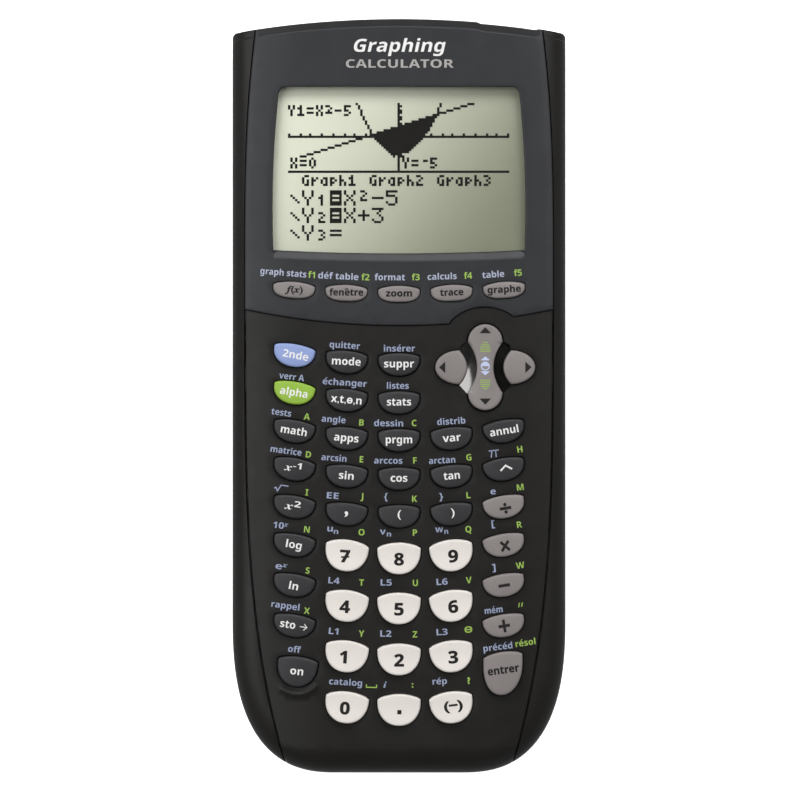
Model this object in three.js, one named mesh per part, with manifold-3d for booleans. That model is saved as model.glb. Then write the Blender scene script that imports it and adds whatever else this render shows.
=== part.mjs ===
// A handheld graphing calculator, lying on its back.
// X runs across it, +Y towards the display end and +Z out of the keys. The origin lies on the
// surface that carries it, under the middle of its outline. Lengths are millimetres.
import * as THREE from "three";
import { mergeVertices } from "three/addons/utils/BufferGeometryUtils.js";
import Module from "manifold-3d";

const wasm = await Module();
wasm.setup();

// Outline of the casing.
const HALF_WIDTH = 42;
const HALF_LENGTH = 94.8;
const LOWER_CORNER = { x: 26.6, y: 39.4, power: 2.59 };
const TOP_ARC_RADIUS = 249;
const TOP_CORNER_RADIUS = 1.4;

// Heights above the surface it lies on.
const BACK_Z = 0.6;
const SEAM_Z = 11;
const BAND_Z = 19.6;
const FACE_Z = 20.5;
const BEZEL_Z = 21;
const BEZEL_BED_Z = 19.6;
const DECK_UNDER_Z = 18.3;
const BED_UNDER_Z = 16.6;
const WALL_CAVITY_Z = 13.5;

// Thicknesses and gaps.
const GAP = 0.3;
const WALL = 2.2;
const FLOOR = 2.4;
const WELL_GAP = 0.35;
const BED_RIM = 2;

// How far a cutting solid runs past the face that it cuts, and a reach beyond the whole casing.
const PAST = 1;
const FAR = 2 * HALF_LENGTH;

// Sides of the round solids.
const ROUND_SIDES = 12;
const SMALL_SIDES = 8;

// Rounded edges. A "corner" is the display end's corner radius, large enough for the inset.
const BAND_ROLL = { inset: 3, drop: 4.6, steps: 3, corner: 4 };
const FACE_ROLL = { inset: 2.4, drop: 3.4, steps: 2 };
const BEZEL_EDGE = { inset: 2.1, drop: 1.05, steps: 2, corner: 3 };
const BACK_ROLL = { inset: 4, drop: 4, steps: 3, corner: 5, wallFoot: 3.2 };

// The raised face between the two side grooves.
const FACE_WIDEST = { halfWidth: 38.64, y: 30 };
const FACE_TOP = { halfWidth: 36, y: 91.3, power: 3 };
const FACE_FOOT = { halfWidth: 28.75, y: -91.4, power: 3.7 };

// The seam between the bezel and the key deck, with its hump over the arrow keys, and the
// pocket under the bezel's bed that the function keys' flanges move in.
const SEAM_CURVE = { middleY: 17.85, rise: 0.0027 };
const HUMP = { x: 21.5, y: 10.5, radius: 12, from: 12.6, to: 28.7 };
const FUNCTION_POCKET = { halfWidth: 36, low: 20.8, high: 30.6 };

// The opening over the display, which is widest at its waist.
const SCREEN = {
  top: 77.7,
  waistY: 47,
  waist: 31.7,
  narrowing: 1.7,
  foot: 35.95,
  footSag: 0.85,
  corner: 1.5,
};
const HOLE = { halfWidth: 32.4, low: 34.2, high: 79.3 };
const WINDOW = { halfWidth: 34.1, low: 32.6, high: 80.8, underZ: 18.3 };
const GLASS = { halfWidth: 32, low: 34.6, high: 78.9, topZ: 17.8 };
const LCD_FRAME = { halfWidth: 35, low: 31.5, high: 81, lowZ: 14.6, highZ: 16.3 };

// Board and key mat under the keys.
const BOARD = { inset: 4.5, highY: 20, lowZ: 12.4, highZ: 13.7 };
const MAT = { inset: 5.5, highY: 30, lowZ: 14, highZ: 14.8 };
const DOME = { topZ: 15.5, footRadius: 2.4, headRadius: 1.6, sides: 6 };
const CHIPS = [
  { x: 8, y: -12, width: 14, length: 14 },
  { x: -16, y: -14, width: 8, length: 11 },
];
const CHIP_HEIGHT = 1.1;

// Battery bay, its door and the cells.
const CELL = { radius: 5.25, length: 44.5, count: 4, pitch: 10.8, z: 7.7 };
const CELL_NUB = { radius: 1.9, length: 1 };
const STRIP_THICKNESS = 0.7;
const BAY = { halfWidth: 22.4, low: 31.4, high: 79.2, wall: 1, ledge: 4, ledgeHeight: 2, highZ: 14.2 };
const DOOR = { halfWidth: 24.6, low: 30.2, high: 80.2, thickness: 1.5 };
const THUMB_PAD = { width: 15, length: 5.5, depth: 0.5, inset: 2.2 };

// Sockets in the display end, and the flat recess around them.
const PORT_RECESS = { from: 20.2, to: 34.8, depth: 0.35 };
const DATA_SOCKET = {
  x: 24,
  z: 15,
  width: 7.7,
  height: 4,
  length: 9,
  wall: 0.45,
  depth: 6.5,
  tongueInset: 1,
};
const LINK_SOCKET = { x: 31.2, z: 15, radius: 2.8, boreRadius: 1.25, length: 10, depth: 9 };
const SOCKET_FACE_Y = 91.9;

// Feet and screw recesses on the back.
const FEET = [
  [30, 84],
  [23, -84],
];
const FOOT_RADIUS = 4.5;
const SCREWS = [
  [33.6, 66],
  [33.6, 0],
  [27, -68],
];
const SCREW = { recessRadius: 3.3, recessDepth: 6, bossRadius: 4.6, holeRadius: 1.3, topZ: 10.4 };

// Keys: each is a cap with an arched top edge and a round lower edge, over a wider flange. A
// "slant" raises the outline's right-hand side.
const SMALL_CAP = { width: 10.4, height: 5.7, arch: 0.74, shoulder: 0.8, topZ: 22 };
const FUNCTION_CAP = { width: 10.5, height: 4.1, arch: 0.8, shoulder: 0.5, power: 2.7, topZ: 21.9 };
const DIGIT_CAP = { width: 10.85, height: 7.9, arch: 1.17, shoulder: 0.9, topZ: 22.5 };
const ON_CAP = { width: 10.1, height: 7.6, arch: 0.85, shoulder: 0.9, topZ: 22 };
const ENTER_CAP = { width: 9.8, height: 10.8, arch: 0.9, shoulder: 2.2, slant: 0.13, topZ: 22.2 };
const CAP_POWER = 2.15;
const CAP_CORNER = 0.45;
const CAP_EDGE = 0.5;
const FLANGE = { lowZ: 16.9, highZ: 18, overhang: 0.6, shorter: 0.9 };

const COLUMNS = [-26.35, -13.2, 0, 13.2, 26.35];
const SMALL_TILTS = [-9.4, -5.4, 0, 5.4, 9.4];
const FUNCTION_TILTS = [-4.2, -2.1, 0, 2.1, 4.2];
const DIGIT_TILTS = [0, -7, 0, 7, 0];
const ON_TILT = -6.7;

// Rows of keys, each with the middles of its outer, inner and middle caps.
const FUNCTION_ROW = {
  heights: [26.73, 25.98, 25.73],
  names: ["key_function_1", "key_function_2", "key_function_3", "key_function_4", "key_function_5"],
};
const SMALL_ROWS = [
  { heights: [10.31, 8.65, 8.06], names: ["key_second", "key_mode", "key_delete"] },
  { heights: [0.92, -0.9, -1.49], names: ["key_alpha", "key_variable", "key_stats"] },
  {
    heights: [-8.7, -10.49, -10.94],
    names: ["key_math", "key_apps", "key_program", "key_vars", "key_clear"],
  },
  { heights: [-18.2, -19.95, -20.57], names: ["key_inverse", "key_sin", "key_cos", "key_tan", "key_power"] },
  {
    heights: [-27.65, -29.44, -29.99],
    names: ["key_square", "key_comma", "key_open_bracket", "key_close_bracket", "key_divide"],
  },
];
const OUTER_ROWS = [
  { height: -37.24, names: ["key_log", "key_multiply"] },
  { height: -47.29, names: ["key_ln", "key_minus"] },
  { height: -57.43, names: ["key_store", "key_plus"] },
];
const DIGIT_ROWS = [
  { heights: [-39.8, -40.55], names: ["key_7", "key_8", "key_9"] },
  { heights: [-52.45, -53.08], names: ["key_4", "key_5", "key_6"] },
  { heights: [-65.1, -65.86], names: ["key_1", "key_2", "key_3"] },
  { heights: [-77.88, -78.51], names: ["key_0", "key_point", "key_negative"] },
];
const ON_KEY = { x: -25.6, y: -68.92 };
const ENTER_KEY = { x: 26.05, y: -69.37 };
const GUARD_RIB = { radius: 5.7, width: 1, height: 0.22, lift: 0.4, from: 226, to: 326 };

// Arrow pad: a dog-bone rocker for up and down, and a separate key on each side of it.
const ROCKER = {
  x: 21.6,
  y: 7.35,
  lobe: 4.33,
  lobeHeight: 4.4,
  shoulder: 6.4,
  waist: 2.07,
  topZ: 22.3,
  wings: { width: 7, height: 3.6 },
};
const SIDE_ARROW = { reach: 8.55, outer: 6.05, bulge: 1.89, halfHeight: 4.25, topZ: 22.2 };

// Colours.
const CASE_COLOUR = 0x2c2b29;
const BEZEL_COLOUR = 0x414244;
const DARK_KEY_COLOUR = 0x38393c;
const GREY_KEY_COLOUR = 0x8c8482;
const WHITE_KEY_COLOUR = 0xe2dcd6;
const BLUE_KEY_COLOUR = 0xa9bce0;
const GREEN_KEY_COLOUR = 0x91c546;
const RUBBER_COLOUR = 0x6b6d70;
const BOARD_COLOUR = 0x1f5a36;
const LCD_COLOUR = 0xb4b89b;
const CELL_COLOUR = 0x8d939b;
const METAL_COLOUR = 0xb9bcc0;

const GREY_KEYS = new Set(["key_divide", "key_multiply", "key_minus", "key_plus", "key_enter"]);

const calculator = new THREE.Group();

// Geometry helpers.

function solid(geometry) {
  geometry.deleteAttribute("normal");
  geometry.deleteAttribute("uv");
  const merged = mergeVertices(geometry, 1e-4);
  return new wasm.Manifold(
    new wasm.Mesh({
      numProp: 3,
      vertProperties: merged.attributes.position.array,
      triVerts: new Uint32Array(merged.index.array),
    }),
  );
}

function box(low, high) {
  const size = high.map((value, i) => value - low[i]);
  const geometry = new THREE.BoxGeometry(...size);
  return solid(geometry.translate(...low.map((value, i) => value + size[i] / 2)));
}

function prism(points, lowZ, highZ) {
  const geometry = new THREE.ExtrudeGeometry(new THREE.Shape(points), {
    depth: highZ - lowZ,
    bevelEnabled: false,
  });
  return solid(geometry.translate(0, 0, lowZ));
}

// A prism whose upper and lower edges are rounded off by "inset" across and "drop" down.
function roundedPrism(points, lowZ, highZ, inset, drop, steps) {
  const geometry = new THREE.ExtrudeGeometry(new THREE.Shape(points), {
    depth: highZ - lowZ - 2 * drop,
    bevelThickness: drop,
    bevelSize: inset,
    bevelOffset: -inset,
    bevelSegments: steps,
  });
  return solid(geometry.translate(0, 0, lowZ + drop));
}

function upright(x, y, lowZ, highZ, radius, sides = ROUND_SIDES) {
  const geometry = new THREE.CylinderGeometry(radius, radius, highZ - lowZ, sides);
  return solid(geometry.rotateX(Math.PI / 2).translate(x, y, (lowZ + highZ) / 2));
}

function add(name, body, colour, finish = {}) {
  const mesh = body.getMesh();
  const geometry = new THREE.BufferGeometry();
  geometry.setAttribute("position", new THREE.BufferAttribute(mesh.vertProperties, 3));
  geometry.setIndex(new THREE.BufferAttribute(mesh.triVerts, 1));
  const material = new THREE.MeshStandardMaterial({ color: colour, roughness: 0.5, metalness: 0, ...finish });
  const part = new THREE.Mesh(geometry, material);
  part.name = name;
  calculator.add(part);
}

function place(points, x, y, degrees) {
  const angle = THREE.MathUtils.degToRad(degrees);
  const origin = new THREE.Vector2();
  const middle = new THREE.Vector2(x, y);
  return points.map((point) => point.clone().rotateAround(origin, angle).add(middle));
}

// A right-hand half, listed upwards, closed with its mirror image.
function withMirror(half) {
  const left = half.filter((point) => point.x > 0).map((point) => new THREE.Vector2(-point.x, point.y));
  return [...half, ...left.reverse()];
}

function superellipsePoint(a, b, power, turn) {
  const angle = (turn * Math.PI) / 2;
  return new THREE.Vector2(a * Math.cos(angle) ** (2 / power), -b * Math.sin(angle) ** (2 / power));
}

// Outlines.

function topArcY(x) {
  return HALF_LENGTH - (x * x) / (2 * TOP_ARC_RADIUS);
}

function caseOutline({ inset = 0, stretch = 0, topCorner = TOP_CORNER_RADIUS } = {}) {
  const half = [];
  const cornerSteps = 9;
  for (let i = cornerSteps; i >= 0; i--) {
    const { x, y, power } = LOWER_CORNER;
    const point = superellipsePoint(x, y, power, i / cornerSteps);
    half.push(point.add(new THREE.Vector2(HALF_WIDTH - x, y - HALF_LENGTH)));
  }
  const cornerX = HALF_WIDTH - topCorner;
  const cornerY = topArcY(cornerX) - topCorner;
  const cornerDegrees = [0, 40, 80];
  for (const degrees of cornerDegrees) {
    const angle = THREE.MathUtils.degToRad(degrees);
    const x = cornerX + topCorner * Math.cos(angle);
    half.push(new THREE.Vector2(x, cornerY + topCorner * Math.sin(angle)));
  }
  const arcSteps = 5;
  for (let i = arcSteps - 1; i >= 0; i--) {
    const x = (cornerX * i) / arcSteps;
    half.push(new THREE.Vector2(x, topArcY(x)));
  }
  const scale = new THREE.Vector2(1 - inset / HALF_WIDTH, 1 - inset / HALF_LENGTH);
  for (const point of half) {
    point.multiply(scale);
    if (point.y > 0) point.y += stretch;
  }
  return withMirror(half);
}

function faceHalfWidth(y) {
  const end = y > FACE_WIDEST.y ? FACE_TOP : FACE_FOOT;
  const along = (y - FACE_WIDEST.y) / (end.y - FACE_WIDEST.y);
  return FACE_WIDEST.halfWidth - (FACE_WIDEST.halfWidth - end.halfWidth) * along ** end.power;
}

function faceSide(fromY, toY, steps, inset = 0) {
  const points = [];
  for (let i = 0; i <= steps; i++) {
    const y = fromY + ((toY - fromY) * i) / steps;
    points.push(new THREE.Vector2(faceHalfWidth(y) - inset, y));
  }
  return points;
}

function faceOutline() {
  const steps = 14;
  const half = faceSide(FACE_FOOT.y, FACE_TOP.y, steps);
  half.unshift(new THREE.Vector2(FACE_FOOT.halfWidth - PAST, -HALF_LENGTH - PAST));
  half.push(new THREE.Vector2(FACE_TOP.halfWidth, HALF_LENGTH + PAST));
  return withMirror(half);
}

function seamY(x) {
  return SEAM_CURVE.middleY + SEAM_CURVE.rise * x * x;
}

// The bezel's outline, grown by "margin" at the seam and the side grooves.
function bezelOutline(margin) {
  const cornerX = faceHalfWidth(seamY(FACE_WIDEST.halfWidth)) + margin;
  const sideLow = seamY(cornerX) - margin;
  const sideSteps = 7;
  const right = faceSide(sideLow, FACE_TOP.y, sideSteps, -margin);
  right.push(new THREE.Vector2(FACE_TOP.halfWidth + margin, HALF_LENGTH + PAST));
  const outline = withMirror(right);
  const seam = [];
  const seamSteps = 8;
  for (let i = 1; i <= seamSteps; i++) {
    const x = -cornerX + ((HUMP.from + margin + cornerX) * i) / seamSteps;
    seam.push(new THREE.Vector2(x, seamY(x) - margin));
  }
  const humpSteps = 6;
  const radius = HUMP.radius - margin;
  for (let i = 1; i <= humpSteps; i++) {
    const x = HUMP.from + margin + ((HUMP.to - HUMP.from - 2 * margin) * i) / humpSteps;
    seam.push(new THREE.Vector2(x, HUMP.y + Math.sqrt(radius ** 2 - (x - HUMP.x) ** 2)));
  }
  return [...outline, ...seam];
}

function screenOutline() {
  const half = [];
  const { top, waistY, waist, narrowing, foot, footSag, corner } = SCREEN;
  const sideX = (y) => waist - narrowing * ((y - waistY) / (top - waistY)) ** 2;
  const footSteps = 3;
  for (let i = 0; i <= footSteps; i++) {
    const x = (sideX(foot) * i) / footSteps;
    half.push(new THREE.Vector2(x, foot + footSag * (i / footSteps) ** 2));
  }
  const sideSteps = 4;
  const sideTop = top - corner;
  for (let i = 1; i <= sideSteps; i++) {
    const y = foot + footSag + ((sideTop - foot - footSag) * i) / sideSteps;
    half.push(new THREE.Vector2(sideX(y), y));
  }
  const diagonal = corner * (1 - Math.SQRT1_2);
  half.push(new THREE.Vector2(sideX(top) - diagonal, top - diagonal));
  half.push(new THREE.Vector2(sideX(top) - corner, top));
  return withMirror(half);
}

function capOutline({ width, height, arch, shoulder, power = CAP_POWER, slant = 0 }, margin = 0) {
  const a = width / 2 + margin;
  const topY = height / 2 + margin;
  const widestY = height / 2 - arch - shoulder;
  const half = [];
  const lowerSteps = 4;
  for (let i = lowerSteps; i >= 0; i--) {
    const point = superellipsePoint(a, widestY + height / 2 + margin, power, i / lowerSteps);
    half.push(point.add(new THREE.Vector2(0, widestY)));
  }
  half.push(new THREE.Vector2(a - CAP_CORNER / 3, topY - arch - CAP_CORNER));
  half.push(new THREE.Vector2(a - CAP_CORNER, topY - arch));
  half.push(new THREE.Vector2(a / 2, topY - arch / 4));
  half.push(new THREE.Vector2(0, topY));
  half[0].x = 0;
  return withMirror(half).map((point) => new THREE.Vector2(point.x, point.y + slant * point.x));
}

function rockerOutline(margin = 0) {
  const lobe = ROCKER.lobe + margin;
  const waist = ROCKER.waist + margin;
  const quarter = [];
  const sideSteps = 4;
  for (let i = 0; i < sideSteps; i++) {
    const along = i / sideSteps;
    quarter.push(new THREE.Vector2(waist + (lobe - waist) * along ** 2, ROCKER.shoulder * along));
  }
  const lobeSteps = 4;
  for (let i = 0; i <= lobeSteps; i++) {
    const angle = (i / lobeSteps) * (Math.PI / 2);
    const y = ROCKER.shoulder + (ROCKER.lobeHeight + margin) * Math.sin(angle);
    quarter.push(new THREE.Vector2(i < lobeSteps ? lobe * Math.cos(angle) : 0, y));
  }
  const lower = quarter.slice(1).map((point) => new THREE.Vector2(point.x, -point.y));
  return withMirror([...lower.reverse(), ...quarter]);
}

function sideArrowOutline(margin = 0) {
  const outer = SIDE_ARROW.outer + margin;
  const bulge = SIDE_ARROW.bulge + margin;
  const halfHeight = SIDE_ARROW.halfHeight + margin;
  const points = [];
  const outerSteps = 8;
  for (let i = 0; i <= outerSteps; i++) {
    const angle = (i / outerSteps - 0.5) * Math.PI;
    points.push(new THREE.Vector2(outer * Math.cos(angle), halfHeight * Math.sin(angle)));
  }
  const innerSteps = 4;
  for (let i = 1; i < innerSteps; i++) {
    const along = 1 - (2 * i) / innerSteps;
    points.push(new THREE.Vector2(-bulge * (1 - along ** 2), halfHeight * along));
  }
  return points;
}

// Keys.

const wells = [];

// A cap standing on its flange. The deck gets a well that is WELL_GAP larger all round.
function addKey(name, outline, well, topZ, flange, colour) {
  const cap = roundedPrism(outline, FLANGE.lowZ, topZ, CAP_EDGE, CAP_EDGE, 1);
  const foot = prism(flange, FLANGE.lowZ, FLANGE.highZ);
  add(name, cap.add(foot), colour);
  wells.push(prism(well, FLANGE.highZ - PAST, FAR));
}

function keyColour(name, cap) {
  if (name === "key_second") return BLUE_KEY_COLOUR;
  if (name === "key_alpha") return GREEN_KEY_COLOUR;
  if (cap === DIGIT_CAP) return WHITE_KEY_COLOUR;
  return cap === FUNCTION_CAP || GREY_KEYS.has(name) ? GREY_KEY_COLOUR : DARK_KEY_COLOUR;
}

function rectangle(halfWidth, halfHeight) {
  const half = [new THREE.Vector2(halfWidth, -halfHeight), new THREE.Vector2(halfWidth, halfHeight)];
  return withMirror(half);
}

function addCapKey(name, cap, x, y, tilt) {
  const flange = rectangle(cap.width / 2 + FLANGE.overhang, (cap.height - FLANGE.shorter) / 2);
  addKey(
    name,
    place(capOutline(cap), x, y, tilt),
    place(capOutline(cap, WELL_GAP), x, y, tilt),
    cap.topZ,
    place(flange, x, y, tilt),
    keyColour(name, cap),
  );
}

function addRow(row, cap, tilts, firstColumn = 0) {
  row.names.forEach((name, i) => {
    const column = firstColumn + i;
    const height = row.heights[Math.min(column, COLUMNS.length - 1 - column) - firstColumn];
    addCapKey(name, cap, COLUMNS[column], height, tilts[column]);
  });
}

function addKeypad() {
  addRow(FUNCTION_ROW, FUNCTION_CAP, FUNCTION_TILTS);
  for (const row of SMALL_ROWS) addRow(row, SMALL_CAP, SMALL_TILTS);
  for (const { height, names } of OUTER_ROWS) {
    addCapKey(names[0], SMALL_CAP, COLUMNS[0], height, SMALL_TILTS[0]);
    addCapKey(names[1], SMALL_CAP, COLUMNS[4], height, SMALL_TILTS[4]);
  }
  for (const row of DIGIT_ROWS) addRow(row, DIGIT_CAP, DIGIT_TILTS, 1);
  addCapKey("key_on", ON_CAP, ON_KEY.x, ON_KEY.y, ON_TILT);
  addCapKey("key_enter", ENTER_CAP, ENTER_KEY.x, ENTER_KEY.y, 0);
}

function addArrowPad() {
  const { x, y, topZ, wings } = ROCKER;
  addKey(
    "key_up_down",
    place(rockerOutline(), x, y, 0),
    place(rockerOutline(WELL_GAP), x, y, 0),
    topZ,
    place(rectangle(wings.width / 2, wings.height / 2), x, y, 0),
    GREY_KEY_COLOUR,
  );
  const { reach, outer, bulge, halfHeight } = SIDE_ARROW;
  const flange = rectangle((outer + bulge + FLANGE.overhang) / 2, halfHeight - FLANGE.shorter);
  const flangeX = (outer - bulge) / 2;
  for (const [name, turn] of [["key_left", 180], ["key_right", 0]]) {
    const side = turn === 0 ? 1 : -1;
    const middleX = x + side * (reach - flangeX);
    addKey(
      name,
      place(sideArrowOutline(), middleX, y, turn),
      place(sideArrowOutline(WELL_GAP), middleX, y, turn),
      SIDE_ARROW.topZ,
      place(flange, middleX + side * flangeX, y, 0),
      GREY_KEY_COLOUR,
    );
  }
}

// Casing.

function portRecess() {
  const rim = [];
  const steps = 3;
  for (let i = 0; i <= steps; i++) {
    const x = PORT_RECESS.from + ((PORT_RECESS.to - PORT_RECESS.from) * i) / steps;
    rim.push(new THREE.Vector2(x, topArcY(x) - PORT_RECESS.depth));
  }
  rim.push(new THREE.Vector2(PORT_RECESS.to, HALF_LENGTH + PAST));
  rim.push(new THREE.Vector2(PORT_RECESS.from, HALF_LENGTH + PAST));
  return prism(rim, -PAST, FAR);
}

function guardRib() {
  const points = [];
  const steps = 6;
  for (const radius of [GUARD_RIB.radius, GUARD_RIB.radius + GUARD_RIB.width]) {
    const arc = [];
    for (let i = 0; i <= steps; i++) {
      const degrees = GUARD_RIB.from + ((GUARD_RIB.to - GUARD_RIB.from) * i) / steps;
      const angle = THREE.MathUtils.degToRad(degrees);
      arc.push(new THREE.Vector2(radius * Math.cos(angle), radius * Math.sin(angle)));
    }
    points.push(...(radius > GUARD_RIB.radius ? arc : arc.reverse()));
  }
  const placed = place(points, ON_KEY.x, ON_KEY.y + GUARD_RIB.lift, 0);
  return prism(placed, FACE_Z - PAST, FACE_Z + GUARD_RIB.height);
}

function frontCase() {
  const low = SEAM_Z + GAP / 2;
  const underLow = low - PAST;
  const stretched = caseOutline({ stretch: 2 * BAND_ROLL.corner, topCorner: BAND_ROLL.corner });
  const rounded = (topZ, { inset, drop, steps }) =>
    roundedPrism(stretched, underLow - drop, topZ, inset, drop, steps);
  const face = rounded(FACE_Z, FACE_ROLL).intersect(prism(faceOutline(), low, FAR));
  const block = rounded(BAND_Z, BAND_ROLL).add(face);
  let shell = block.intersect(prism(caseOutline(), low, FAR)).add(guardRib());
  shell = shell.subtract(prism(caseOutline({ inset: WALL }), underLow, WALL_CAVITY_Z));
  shell = shell.subtract(prism(caseOutline({ inset: 2 * WALL }), underLow, BED_UNDER_Z));
  const underBezel = prism(bezelOutline(BED_RIM), underLow - PAST, FAR);
  const keyCavity = prism(caseOutline({ inset: 3 * WALL }), underLow, DECK_UNDER_Z);
  shell = shell.subtract(keyCavity.subtract(underBezel));
  const functionPocket = box(
    [-FUNCTION_POCKET.halfWidth, FUNCTION_POCKET.low, underLow],
    [FUNCTION_POCKET.halfWidth, FUNCTION_POCKET.high, DECK_UNDER_Z],
  );
  shell = shell.subtract(functionPocket.intersect(underBezel));
  shell = shell.subtract(prism(bezelOutline(GAP), BEZEL_BED_Z, FAR));
  shell = shell.subtract(box([-HOLE.halfWidth, HOLE.low, 0], [HOLE.halfWidth, HOLE.high, FAR]));
  shell = shell.subtract(
    box(
      [-WINDOW.halfWidth - GAP, WINDOW.low - GAP, WINDOW.underZ - GAP],
      [WINDOW.halfWidth + GAP, WINDOW.high + GAP, FAR],
    ),
  );
  for (const well of wells) shell = shell.subtract(well);
  return shell.subtract(portRecess()).subtract(socketHoles());
}

function socketHoles() {
  const endY = HALF_LENGTH + PAST;
  const { x, z, width, height, length } = DATA_SOCKET;
  const low = [x - width / 2 - GAP, SOCKET_FACE_Y - length - GAP, z - height / 2 - GAP];
  const data = box(low, [x + width / 2 + GAP, endY, z + height / 2 + GAP]);
  const radius = LINK_SOCKET.radius + GAP;
  const lowY = SOCKET_FACE_Y - LINK_SOCKET.length - GAP;
  const barrel = new THREE.CylinderGeometry(radius, radius, endY - lowY, ROUND_SIDES);
  return data.add(solid(barrel.translate(LINK_SOCKET.x, (lowY + endY) / 2, LINK_SOCKET.z)));
}

function bezel() {
  const { inset, drop, steps, corner } = BEZEL_EDGE;
  const outline = caseOutline({ topCorner: corner });
  const top = roundedPrism(outline, BEZEL_BED_Z - 2 * drop, BEZEL_Z, inset, drop, steps);
  let plate = top.intersect(prism(bezelOutline(0), BEZEL_BED_Z + GAP, FAR));
  plate = plate.subtract(prism(screenOutline(), 0, FAR));
  for (const well of wells) plate = plate.subtract(well);
  return plate.subtract(portRecess());
}

function mirroredXs(x) {
  return [x, -x];
}

function rearCase() {
  const high = SEAM_Z - GAP / 2;
  const { inset, drop, steps, corner, wallFoot } = BACK_ROLL;
  const wallFootZ = BACK_Z + wallFoot;
  const rolled = roundedPrism(caseOutline({ topCorner: corner }), BACK_Z, high, inset, drop, steps);
  let shell = rolled.intersect(box([-FAR, -FAR, 0], [FAR, FAR, wallFootZ + GAP]));
  shell = shell.add(prism(caseOutline(), wallFootZ, high));
  shell = shell.subtract(prism(caseOutline({ inset: 2 * WALL }), BACK_Z + FLOOR, high + PAST));
  shell = shell.subtract(prism(caseOutline({ inset: WALL }), BACK_Z + drop, high + PAST));
  for (const [footX, footY] of FEET) {
    for (const x of mirroredXs(footX)) {
      shell = shell.add(upright(x, footY, 0, BACK_Z + FLOOR / 2, FOOT_RADIUS));
    }
  }
  for (const [screwX, screwY] of SCREWS) {
    for (const x of mirroredXs(screwX)) {
      shell = shell.add(upright(x, screwY, BACK_Z + FLOOR / 2, SCREW.topZ, SCREW.bossRadius));
      shell = shell.subtract(upright(x, screwY, -PAST, BACK_Z + SCREW.recessDepth, SCREW.recessRadius));
      shell = shell.subtract(upright(x, screwY, -PAST, SCREW.topZ + PAST, SCREW.holeRadius, SMALL_SIDES));
    }
  }
  const doorTop = BACK_Z + DOOR.thickness + GAP;
  const bayBlock = (wall, topZ) =>
    box([-BAY.halfWidth - wall, BAY.low - wall, doorTop], [BAY.halfWidth + wall, BAY.high + wall, topZ]);
  const bayHollow = box([-BAY.halfWidth, BAY.low, -PAST], [BAY.halfWidth, BAY.high, BAY.highZ - BAY.wall]);
  const doorway = box(
    [-DOOR.halfWidth - GAP, DOOR.low - GAP, -PAST],
    [DOOR.halfWidth + GAP, DOOR.high + GAP, doorTop],
  );
  shell = shell.add(bayBlock(BAY.ledge, doorTop + BAY.ledgeHeight)).add(bayBlock(BAY.wall, BAY.highZ));
  return shell.subtract(bayHollow).subtract(doorway).subtract(portRecess());
}

function batteryDoor() {
  const innerZ = BACK_Z + DOOR.thickness;
  const plate = box([-DOOR.halfWidth, DOOR.low, BACK_Z], [DOOR.halfWidth, DOOR.high, innerZ]);
  const padLow = DOOR.low + THUMB_PAD.inset;
  const pad = box(
    [-THUMB_PAD.width / 2, padLow, -PAST],
    [THUMB_PAD.width / 2, padLow + THUMB_PAD.length, BACK_Z + THUMB_PAD.depth],
  );
  return plate.subtract(pad);
}

// Pieces inside the casing.

function lcdModule() {
  const glass = box([-GLASS.halfWidth, GLASS.low, LCD_FRAME.lowZ], [GLASS.halfWidth, GLASS.high, GLASS.topZ]);
  return glass.add(
    box(
      [-LCD_FRAME.halfWidth, LCD_FRAME.low, LCD_FRAME.lowZ],
      [LCD_FRAME.halfWidth, LCD_FRAME.high, LCD_FRAME.highZ],
    ),
  );
}

function screenWindow() {
  const high = [WINDOW.halfWidth, WINDOW.high, BEZEL_BED_Z];
  return box([-WINDOW.halfWidth, WINDOW.low, WINDOW.underZ], high);
}

function keypadSheet({ inset, highY, lowZ, highZ }) {
  const below = box([-FAR, -FAR, lowZ - PAST], [FAR, highY, highZ + PAST]);
  return prism(caseOutline({ inset }), lowZ, highZ).intersect(below);
}

function circuitBoard() {
  let board = keypadSheet(BOARD);
  for (const { x, y, width, length } of CHIPS) {
    const low = [x - width / 2, y - length / 2, BOARD.lowZ - CHIP_HEIGHT];
    board = board.add(box(low, [x + width / 2, y + length / 2, (BOARD.lowZ + BOARD.highZ) / 2]));
  }
  return board;
}

function dome(x, y) {
  const { topZ, footRadius, headRadius, sides } = DOME;
  const height = topZ - MAT.lowZ - GAP;
  const cone = new THREE.CylinderGeometry(headRadius, footRadius, height, sides);
  return solid(cone.rotateX(Math.PI / 2).translate(x, y, topZ - height / 2));
}

function keyMat() {
  const centres = wells.map((well) => {
    const { min, max } = well.boundingBox();
    return [(min[0] + max[0]) / 2, (min[1] + max[1]) / 2];
  });
  let mat = keypadSheet(MAT);
  for (const [x, y] of centres) {
    const isRocker = Math.hypot(x - ROCKER.x, y - ROCKER.y) < ROCKER.waist;
    const offsets = isRocker ? [-ROCKER.shoulder, ROCKER.shoulder] : [0];
    for (const offset of offsets) mat = mat.add(dome(x, y + offset));
  }
  return mat;
}

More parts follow.
